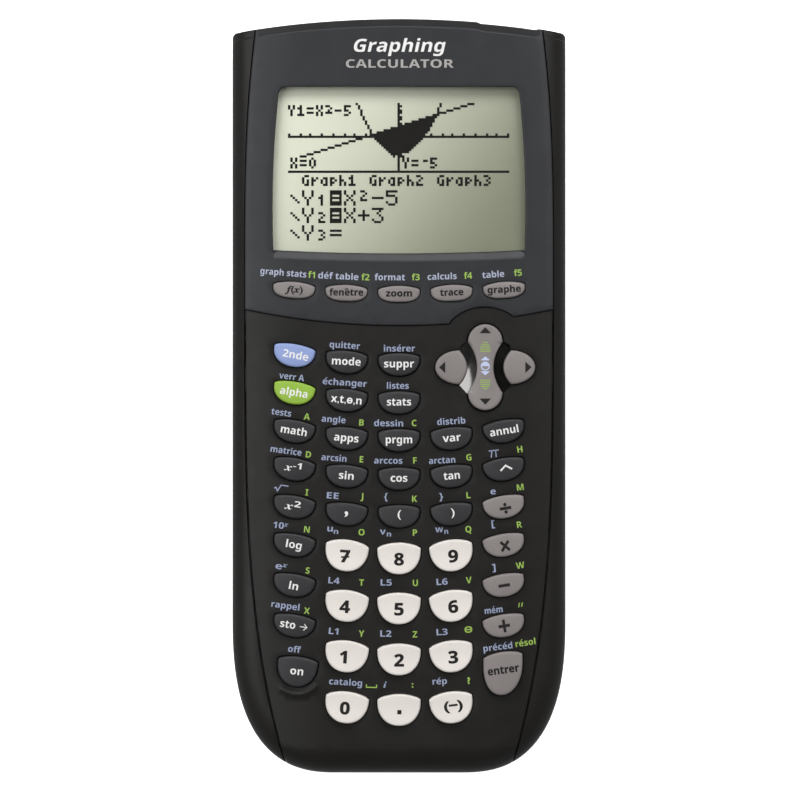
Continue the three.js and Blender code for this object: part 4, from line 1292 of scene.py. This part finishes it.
def arrow_keys():
    x, y = ROCKER["x"], ROCKER["y"]
    rocker = rounded_top(rocker_outline(), rocker_z, ROCKER["lobe"])
    piece("cap_up_down", placed(rocker, x, y, 0), GREY_KEY, "key_up_down", ["key_up_down"])
    marks = {
        "arrows": ([arrow(0, ARROWS["up"], 0), arrow(0, ARROWS["down"], 180)], BLACK_INK),
        "scroll": (scroll_marks(), GREEN_INK),
        "contrast": (contrast_marks(), PALE_INK),
    }
    for name, (shapes, print_ink) in marks.items():
        flat = placed(ink(shapes, rocker_z), x, y, 0)
        piece(f"legend_up_down_{name}", flat, print_ink, "key_up_down")
    cap = rounded_top(side_arrow_outline(), side_arrow_z, SIDE_ARROW["half_height"])
    mark = ink([arrow(ARROWS["side"] - ARROW_MIDDLE, 0, -90)], side_arrow_z)
    for name, side, turn in (("left", -1, 180), ("right", 1, 0)):
        middle, key = x + side * ARROW_MIDDLE, f"key_{name}"
        piece(f"cap_{name}", placed(cap, middle, y, turn), GREY_KEY, key, [key])
        piece(f"legend_{name}", placed(mark, middle, y, turn), BLACK_INK, key)


BLUE_LABELS = [
    ("graph stats", -29.0, 30.9, 11.6), ("déf table", -15.2, 30.3, 10.1), ("format", -2.3, 30.0, 7.6),
    ("calculs", 10.8, 30.2, 7.3), ("table", 23.6, 30.7, 5.5), ("quitter", -13.6, 12.7, 7.6),
    ("insérer", 0.1, 12.2, 7.8), ("verr A", -26.9, 5.0, 6.3), ("échanger", -13.6, 3.4, 11.1),
    ("listes", -0.3, 2.8, 5.5), ("tests", -29.5, -4.0, 5), ("angle", -16.4, -5.9, 6),
    ("dessin", -2.6, -6.6, 7.3), ("distrib", 13.1, -6.1, 7.1), ("matrice", -28.3, -13.5, 7.8),
    ("arcsin", -16.3, -15.3, 6.3), ("arccos", -2.7, -16.2, 7.1), ("arctan", 10.8, -16.0, 6.6),
    ("𝝿", 23.8, -14.3, 2.2), ("√", -29.6, -23, 3.7), ("EE", -16.6, -24.8, 3), ("{", -3.3, -25.2, 0.9),
    ("}", 10.6, -25.2, 0.9), ("e", 23.6, -23.9, 1.3), ("10|𝒙", -29.7, -32.3, 3.7), ("u_n", -16.6, -33.5, 2.8),
    ("v_n", -3.4, -34.2, 2.8), ("w_n", 10.7, -33.6, 3.2), ("[", 23.6, -32, 0.8), ("e|𝒙", -29.5, -42.6, 2.9),
    ("L4", -16.3, -46.1, 2.8), ("L5", -3.2, -46.6, 2.8), ("L6", 10.8, -46.4, 2.8), ("]", 23.8, -43, 0.8),
    ("rappel", -28.5, -52.6, 7.1), ("mém", 23.7, -53.4, 4.5), ("L1", -16.4, -58.8, 2.4),
    ("L2", -3.3, -59.4, 2.8), ("L3", 10.8, -59.0, 2.8), ("off", -26.2, -63.3, 3.2),
    ("précéd", 24.8, -62.9, 7.3),
    ("catalog", -13.4, -71.8, 8.3), ("𝒊", -3.5, -72.2, 0.8), ("rép", 10.2, -71.5, 3.6),
]
GREEN_LABELS = [
    ("f1", -21.9, 30.6), ("f2", -8.4, 30.0), ("f3", 4.2, 30), ("f4", 17.3, 30.4), ("f5", 29.8, 31.1),
    ("A", -23.1, -5.0), ("B", -9.4, -6.5), ("C", 3.8, -6.6), ("D", -22.7, -14.5), ("E", -9.4, -15.7),
    ("F", 4.0, -16.0), ("G", 17.5, -15.2), ("H", 30.3, -13.2), ("I", -23.1, -24.0), ("J", -9.3, -25.2),
    ("K", 3.9, -25.6), ("L", 17.4, -24.7), ("M", 30.4, -22.7), ("N", -23.1, -33.3), ("O", -9.4, -34.0),
    ("P", 4.0, -34.1), ("Q", 17.4, -33.4), ("R", 30.2, -32.1), ("S", -22.9, -43.6), ("T", -9.4, -46.6),
    ("U", 4.1, -46.7), ("V", 17.5, -46.0), ("W", 30.4, -42.3), ("\"", 30.5, -52.3), ("X", -23.1, -53.7),
    ("Y", -9.4, -59.4), ("Z", 4.0, -59.6), ("θ", 17.4, -58.4, 1.95), ("résol", 31.7, -61.6),
    ("?", 17.5, -71.2), (":", 3.4, -72.4),
]


LABEL_TURN = {"bezel": 0.17, "deck": 0.27}
SPACE_MARK = {"x": -6.9, "y": -72.6, "half": 1.4, "foot": -0.3, "rise": 0.58}


def label_tilt(x, y):
    """Labels turn with the arc of their row, and less so on the bezel."""
    return x * LABEL_TURN["bezel" if y > SEAM_CURVE["middle"] else "deck"]


LOWEST_BEZEL_LABEL = 28
LABEL_WEIGHTS = {"{": 0.02, "}": 0.02, "[": 0.02, "]": 0.02, ":": 0.035, "?": 0.045}
DRAWN_LABELS = {
    "√": [[(-1.6, -0.1), (-1.25, 0.1), (-0.8, -0.8), (-0.1, 0.8), (1.65, 0.8)]],
    "𝝿": [[(-1.1, 0.8), (1.15, 0.8)], [(-0.45, 0.7), (-0.75, -0.8)], [(0.5, 0.7), (0.5, -0.8)]],
    "\"": [[(-0.25, 0.5), (-0.5, -0.3)], [(0.5, 0.5), (0.25, -0.3)]],
}


def label(text, x, y, width=0.0):
    if text in DRAWN_LABELS:
        shapes = [shape for line in DRAWN_LABELS[text] for shape in strokes(line, PEN)]
    else:
        weight = LABEL_WEIGHTS.get(text, 0)
        shapes = lettering(text.replace("θ", "O"), LABEL_SIZE, width, weight=weight, middle="box")
    if text == "θ":
        shapes.append(bar(*THETA_BAR))
    return moved_all(shapes, x, y, label_tilt(x, y))


def space_mark():
    """The open bracket that stands for a space."""
    x, y, half, foot, rise = SPACE_MARK.values()
    side, middle = half - PEN / 2, foot + (PEN + rise) / 2
    bars = [bar(0, foot, 2 * half, PEN), bar(-side, middle, PEN, rise), bar(side, middle, PEN, rise)]
    return moved_all(bars, x, y, label_tilt(x, y))


def labels():
    blue = [shape for entry in BLUE_LABELS for shape in label(*entry)]
    green = [shape for entry in GREEN_LABELS for shape in label(*entry)] + space_mark()
    for name, shapes, light_ink, dark_ink in (
        ("blue", blue, LIGHT_BLUE_INK, BLUE_INK), ("green", green, GREEN_INK, GREEN_INK),
    ):
        on_bezel = [shape for shape in shapes if shape[0][:, 1].min() > LOWEST_BEZEL_LABEL]
        on_deck = [shape for shape in shapes if shape[0][:, 1].min() <= LOWEST_BEZEL_LABEL]
        piece(f"bezel_labels_{name}", ink(on_bezel, bezel_z), light_ink)
        piece(f"deck_labels_{name}", ink(on_deck, deck_z), dark_ink)
    upper = lettering("Graphing", TITLE["upper"], TITLE["upper_width"], slant=0.2)
    lower = lettering("CALCULATOR", TITLE["lower"], TITLE["lower_width"], middle="box")
    for name, shapes, print_ink in (("upper", upper, WHITE_INK), ("lower", lower, GREY_INK)):
        shapes = moved_all(shapes, TITLE["x"], TITLE[f"{name}_y"])
        piece(f"title_{name}", ink(shapes, bezel_z), print_ink)


# Display.

PIXEL_COLUMNS, PIXEL_ROWS = 96, 64
PIXEL_PITCH = (0.5855, 0.549)
PIXEL_SIZE = (0.63, 0.6)
PIXEL_ORIGIN = (-27.92, 73.85)
SMALL_GLYPHS = {
    "Y": "101 101 010 010 010", "1": "010 110 010 010 111", "=": "000 111 000 111 000",
    "X": "101 101 010 101 101", "²": "110 001 010 111 000", "-": "000 000 111 000 000",
    "5": "111 100 110 001 110", "0": "010 101 101 101 010", "G": "011 100 101 101 011",
    "r": "000 101 110 100 100", "a": "000 011 101 101 011", "p": "000 110 101 110 100",
    "h": "100 100 110 101 101", "2": "110 001 010 100 111", "3": "110 001 010 001 110",
    "~": "000 011 000 000 000",
}
LARGE_GLYPHS = {
    "Y": "10001 10001 10001 01010 00100 00100 00100", "X": "10001 10001 01010 00100 01010 10001 10001",
    "#": "11111 11111 10001 11111 10001 11111 11111", "=": "00000 00000 11111 00000 11111 00000 00000",
    "-": "00000 00000 00000 11111 00000 00000 00000", "+": "00000 00100 00100 11111 00100 00100 00000",
    "5": "11111 10000 11110 00001 00001 10001 01110", "3": "11111 00010 00100 00010 00001 10001 01110",
    "²": "0110 0001 0010 0100 0111 0000 0000", "\\": "00000 00000 01000 00100 00010 00001 00000",
    "₁": "000 000 001 011 001 001 001", "₂": "0000 0000 0110 0001 0010 0100 0111",
    "₃": "0000 0000 0110 0001 0010 0001 0110",
}


def typed(text, glyphs, column, row, pitch):
    """The lit pixels of a line of text whose first character starts at a column and row."""
    lit = set()
    for i, character in enumerate(text):
        for down, bits in enumerate(glyphs.get(character, "").split()):
            start = column + i * pitch
            lit |= {(start + across, row + down) for across, bit in enumerate(bits) if bit == "1"}
    return lit


# The plot: its axes' row and column, its foot, pixels per unit, and how far it reaches each way in units.
PLOT = {"row": 15, "column": 47, "foot": 31, "unit_x": 4.7, "unit_y": 1.55, "reach_x": 10, "reach_y": 9}
CURSOR_ROW = 24
# The typed rows: letters, column, row, text and pitch.
TYPED = [
    (SMALL_GLYPHS, 0, 1, "Y1=X²-5", 4),
    (SMALL_GLYPHS, 1, 25, "X=0", 4),
    (SMALL_GLYPHS, 49, 25, "Y=~5", 4),
    (SMALL_GLYPHS, 6, 33, "Graph1", 4),
    (SMALL_GLYPHS, 35, 33, "Graph2", 4),
    (SMALL_GLYPHS, 64, 33, "Graph3", 4),
    (LARGE_GLYPHS, 0, 40, "\\Y₁#X²-5", 6),
    (LARGE_GLYPHS, 0, 48, "\\Y₂#X+3", 6),
    (LARGE_GLYPHS, 0, 56, "\\Y₃=", 6),
]
# The plot is cleared behind its captions: first column and row, last column and row.
CLEARED = [(0, 0, 27, 7), (0, 25, 13, 31), (48, 25, 66, 31)]


def plotted():
    """The axes, a parabola, a line that crosses it and the area between the two."""
    axis_row, axis_column, last_row, per_unit_x, per_unit_y, reach_x, reach_y = PLOT.values()
    columns = range(PIXEL_COLUMNS - 1)
    lit = {(column, axis_row) for column in columns} | {(axis_column, row) for row in range(last_row)}
    lit |= {(round(per_unit_x * tick), axis_row - 1) for tick in range(2 * reach_x + 1)}
    lit |= {(axis_column + 1, round(axis_row - per_unit_y * tick)) for tick in range(-reach_y, reach_y + 1)}
    lit |= {(axis_column - 2, CURSOR_ROW), (axis_column + 2, CURSOR_ROW)}
    previous = None
    for column in columns:
        x = column / per_unit_x - reach_x
        bowl, line = (axis_row - per_unit_y * y for y in (x * x - 5, x + 3))
        lit |= {(column, row) for row in range(round(line), round(bowl) + 1)}
        lit.add((column, round(line)))
        if previous is not None:
            low, high = sorted((round(previous), round(bowl)))
            falling = bowl > previous
            lit |= {(column, row) for row in range(low + falling, max(high, low + 1) + falling)}
        previous = bowl
    return {(column, row) for column, row in lit if 0 <= row < last_row}


def lit_pixels():
    lit = plotted()
    for low_column, low_row, high_column, high_row in CLEARED:
        lit = {(c, r) for c, r in lit if not (low_column <= c < high_column and low_row <= r < high_row)}
    lit |= {(column, PLOT["foot"]) for column in range(PIXEL_COLUMNS - 1)}
    for glyphs, column, row, text, pitch in TYPED:
        lit |= typed(text, glyphs, column, row, pitch)
    return lit


def display_pixels():
    """Each row's runs of lit pixels as thin tiles on the display."""
    lit, tiles = lit_pixels(), []
    for row in range(PIXEL_ROWS):
        high_y = PIXEL_ORIGIN[1] - row * PIXEL_PITCH[1]
        column = 0
        while column < PIXEL_COLUMNS:
            first = column
            while (column, row) in lit:
                column += 1
            if column > first:
                low_x, last_x = (PIXEL_ORIGIN[0] + c * PIXEL_PITCH[0] for c in (first, column - 1))
                high_x, low_y = last_x + PIXEL_SIZE[0], high_y - PIXEL_SIZE[1]
                tiles.append(polygon([(low_x, low_y), (high_x, low_y), (high_x, high_y), (low_x, high_y)]))
            column += 1
    piece("display_pixels", ink(tiles, DISPLAY_Z), PIXEL)


# Back of the casing.

def back_z(points):
    side = roll(distance(points, SIDE_LINE), **BACK_ROLL)
    return BACK_Z + side + roll(top_arc_y(points[:, 0]) - points[:, 1], **BACK_END_ROLL)


def back_inner(points):
    edge = rim_distance(points, OUTLINE)
    inner = np.where(edge < WALL, LIP_Z, back_z(points) + BACK_THICKNESS)
    return np.where(edge < LIP_INSET, SEAM_LOW_Z, inner)


def rear_shell():
    gap, recess, rim = DOOR["gap"], SCREW["recess"], SCREW["rim"]
    holes = [Line(border(DOOR, gap), rim)] + [Line(circle(x, y, recess), rim) for x, y in SCREWS]
    lines = [Line(case_outline(inset)) for inset in BACK_RINGS]
    lines += [Line(circle(x, y, recess + rim)) for x, y in SCREWS]
    lines.append(Line(border(DOOR, 2 * gap)))
    solid = slab([Line(OUTLINE), *holes], lines, SPACING["back"], back_inner, back_z, seen="under")
    piece("rear_shell", solid, BACK, replaces=["rear_case"])


def battery_bay():
    """The walled bay over the doorway, open towards the door."""
    wall, ceiling, ledge_z, step = BAY["wall"], BAY["ceiling"], BAY["ledge_z"], 2 * STEP

    def rim(margin):
        return border(BAY, margin, BORDER_SPACING["bay"])

    def top(points):
        return np.where(inside(points, rim(wall)), ceiling + wall, ledge_z + BAY["ledge_thickness"])

    def under(points):
        return np.where(inside(points, rim(0)), ceiling, ledge_z)

    lines = [Line(rim(margin)) for margin in (-step, step, wall - step, wall + step)]
    solid = slab([Line(rim(BAY["ledge"]))], lines, SPACING["bay"], top, under)
    piece("battery_bay", solid, BACK)


def door_z(points):
    """The door's outer face, with finger ribs in its thumb pad."""
    x, y = points.T
    low, high, least = THUMB_PAD["low"], THUMB_PAD["high"], THUMB_PAD["least"]
    pad = (np.abs(x) < THUMB_PAD["half"]) & (y > low) & (y < high)
    ribs = 0.5 - 0.5 * np.cos(2 * math.pi * (y - low) / (high - low) * THUMB_PAD["ribs"])
    edge = roll(rim_distance(points, border(DOOR, 0, BORDER_SPACING["whole"])), **DOOR_EDGE)
    return BACK_Z + edge + np.where(pad, THUMB_PAD["depth"] * (least + (1 - least) * ribs), 0)


def battery_door():
    lines = [Line(border(DOOR, -inset)) for inset in DOOR_RINGS]
    half = THUMB_PAD["half"] - STEP
    count = THUMB_PAD["rows"] * THUMB_PAD["ribs"] + 1
    for y in np.linspace(THUMB_PAD["low"] + STEP, THUMB_PAD["high"] - STEP, count):
        lines.append(opened(dense([(-half, y), (half, y)], 1.5, closed=False)))
    lines += [Line(border(THUMB_PAD, margin)) for margin in (-STEP, STEP)]
    inner = BACK_Z + DOOR["thickness"]
    solid = slab([Line(border(DOOR))], lines, SPACING["back"], inner, door_z, seen="under")
    piece("door_panel", solid, BACK, "battery_door", ["battery_door"])


def cells():
    radius, length, z = CELL["radius"], CELL["length"], CELL["z"]
    low = (BAY["low"] + BAY["high"] - length) / 2
    profile = [(0, 0), *((radius - inset, rise) for inset, rise in CELL_FOOT)]
    profile += [(radius - inset, length - below) for inset, below in CELL_HEAD]
    profile += [(nub, length + above) for nub, above in CELL_NUB]
    band_radius = radius + CELL_BAND_ENDS["proud"]
    band_low, band_high = CELL_BAND_ENDS["low"], length - CELL_BAND_ENDS["high"]
    band = [(0, band_low), (band_radius, band_low), (band_radius, band_high), (0, band_high)]
    for i in range(CELL["count"]):
        x = CELL["pitch"] * (i - (CELL["count"] - 1) / 2)
        way = 1 if i % 2 == 0 else -1
        place = (x, low if way == 1 else low + length, z)
        stands_for = ["battery_set"] if i == 0 else []
        sleeve = laid_down(lathe(profile), place, way)
        piece(f"cell_{i + 1}", sleeve, CELL_SLEEVE, replaces=stands_for)
        piece(f"cell_band_{i + 1}", laid_down(lathe(band), place, way), CELL_BAND)
    half = CELL["pitch"] * (CELL["count"] - 1) / 2 + CONTACT_STRIP["half"]
    corner = np.array([half, CONTACT_STRIP["thickness"] / 2, CONTACT_STRIP["half"]])
    for i, y in enumerate((low - CONTACT_STRIP["foot"], low + length + CONTACT_STRIP["head"])):
        strip = brick((0, y, z) - corner, (0, y, z) + corner)
        piece(f"contact_strip_{i + 1}", strip, STEEL)


def screws_and_feet():
    low, high, top, seat_radius = (SCREW[part] for part in ("head_low", "head_high", "boss_top", "seat"))
    rims = [Line(circle(0, 0, SCREW[part])) for part in ("boss", "recess")]
    tube = slab(rims, [], SPACING["boss"], top, SCREW["boss_low"])
    seat = lathe([(0, high), (seat_radius, high), (seat_radius, top), (0, top)])
    head = screw_head(low, high)
    for i, (x, y) in enumerate(SCREWS):
        piece(f"screw_boss_{i + 1}", placed(tube, x, y, 0), BACK)
        piece(f"screw_seat_{i + 1}", placed(seat, x, y, 0), BACK)
        piece(f"screw_{i + 1}", placed(head, x, y, SCREW["turn"] * i), STEEL)
    for i, (x, y) in enumerate(FEET):
        piece(f"foot_pad_{i + 1}", placed(lathe(FOOT_PAD), x, y, 0), FOOT_RUBBER)


def screw_head(low, high):
    """A domed head, seen from below, with a cross recess."""
    arm, half, edge = SCREW_CROSS["arm"], SCREW_CROSS["half"], SCREW_CROSS["edge"]
    cross = [(arm, -half), (arm, half), (half, half), (half, arm), (-half, arm), (-half, half)]
    cross = dense(cross + [(-x, -y) for x, y in cross], 0.5)

    def under(points):
        domed = low + SCREW["dome"] * (np.hypot(*points.T) / SCREW["head"]) ** 2
        return domed + SCREW_CROSS["depth"] * inside(points, cross)

    lines = [Line(cross * (1 - edge)), Line(cross * (1 + edge)), Line(circle(0, 0, SCREW["ring"]))]
    return slab([Line(circle(0, 0, SCREW["head"]))], lines, SPACING["screw"], high + SCREW["dome"], under)


def link_socket():
    radius, bore = LINK_SOCKET["radius"], LINK_SOCKET["bore"]
    back, floor, rim = -LINK_SOCKET["length"], -LINK_SOCKET["depth"], LINK_SOCKET["rim"]
    profile = [(0, back), (radius, back), (radius, -0.2), (radius - 0.2, 0)]
    profile += [(bore + rim, 0), (bore, -rim), (bore, floor), (0, floor)]
    jack = laid_down(lathe(profile), LINK_PLACE)
    piece("link_jack", jack, JACK_PLASTIC, replaces=["link_socket"])


def kept_nodes():
    looks = {
        "screen_window": WINDOW, "lcd_module": DISPLAY_GLASS_PAINTED_LIGHT, "key_mat": RUBBER,
        "circuit_board": BOARD, "data_socket": SOCKET_METAL,
    }
    for name, look in looks.items():
        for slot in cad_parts[name].material_slots:
            slot.material = look


# Studio. The camera looks straight down and takes in the span at the height z.

CAMERA = {"lens": 200, "sensor": 36, "clip": 20, "span": 201.6, "x": 0.25, "y": -0.84, "z": 15}


def softbox(name, place, size, power):
    light = bpy.data.lights.new(name, "AREA")
    light.shape, light.size, light.size_y, light.energy = "RECTANGLE", *size, power
    lamp = bpy.data.objects.new(name, light)
    lamp.location = place
    lamp.rotation_euler = (-Vector(place)).to_track_quat("-Z", "Y").to_euler()
    lamp.visible_camera = False
    bpy.context.scene.collection.objects.link(lamp)


# The lights, in metres and watts, and the grey of the world from below to above.
SOFTBOXES = {
    "left_box": ((-0.62, 0.1, 0.95), (0.7, 0.9), 6),
    "right_box": ((0.62, 0.45, 0.95), (0.7, 0.9), 5),
    "end_box": ((0.0, 0.85, 0.8), (1.0, 0.5), 10),
}
WORLD = {"low": 0.5, "high": 0.05, "high_at": 0.8}
FLOOR = {"size": 6, "grey": 0.93, "roughness": 0.9}


def studio():
    world = bpy.data.worlds.new("studio")
    world.use_nodes = True
    tree = world.node_tree
    upward = node(tree, "SeparateXYZ", {0: node(tree, "TexCoord", {}).outputs["Generated"]}).outputs["Z"]
    fade = node(tree, "ValToRGB", {"Fac": upward})
    for element, end in zip(fade.color_ramp.elements, ("low", "high")):
        element.color = (*[WORLD[end]] * 3, 1)
    fade.color_ramp.elements[1].position = WORLD["high_at"]
    tree.links.new(fade.outputs["Color"], tree.nodes["Background"].inputs["Color"])
    bpy.context.scene.world = world
    for name, (place, size, power) in SOFTBOXES.items():
        softbox(name, place, size, power)
    bpy.ops.mesh.primitive_plane_add(size=FLOOR["size"])
    floor = bpy.context.object
    floor.name = "floor"
    glow = {"Emission_Color": (1, 1, 1, 1), "Emission_Strength": 1}
    paper = material("floor_paper", [FLOOR["grey"]] * 3, FLOOR["roughness"], **glow)
    floor.data.materials.append(paper)
    floor.visible_glossy = floor.visible_diffuse = False


def camera():
    made = bpy.data.cameras.new("camera")
    made.lens, made.sensor_width, made.clip_end = (CAMERA[part] for part in ("lens", "sensor", "clip"))
    holder = bpy.data.objects.new("camera", made)
    away = CAMERA["span"] * CAMERA["lens"] / CAMERA["sensor"]
    holder.location = (CAMERA["x"] * MM, CAMERA["y"] * MM, (CAMERA["z"] + away) * MM)
    bpy.context.scene.collection.objects.link(holder)
    bpy.context.scene.camera = holder
    bpy.context.scene.view_settings.view_transform = "Standard"


front_shell()
crescents()
screen_bezel()
end_trim()
cap_keys()
arrow_keys()
labels()
display_pixels()
rear_shell()
battery_bay()
battery_door()
cells()
screws_and_feet()
link_socket()
kept_nodes()
studio()
camera()
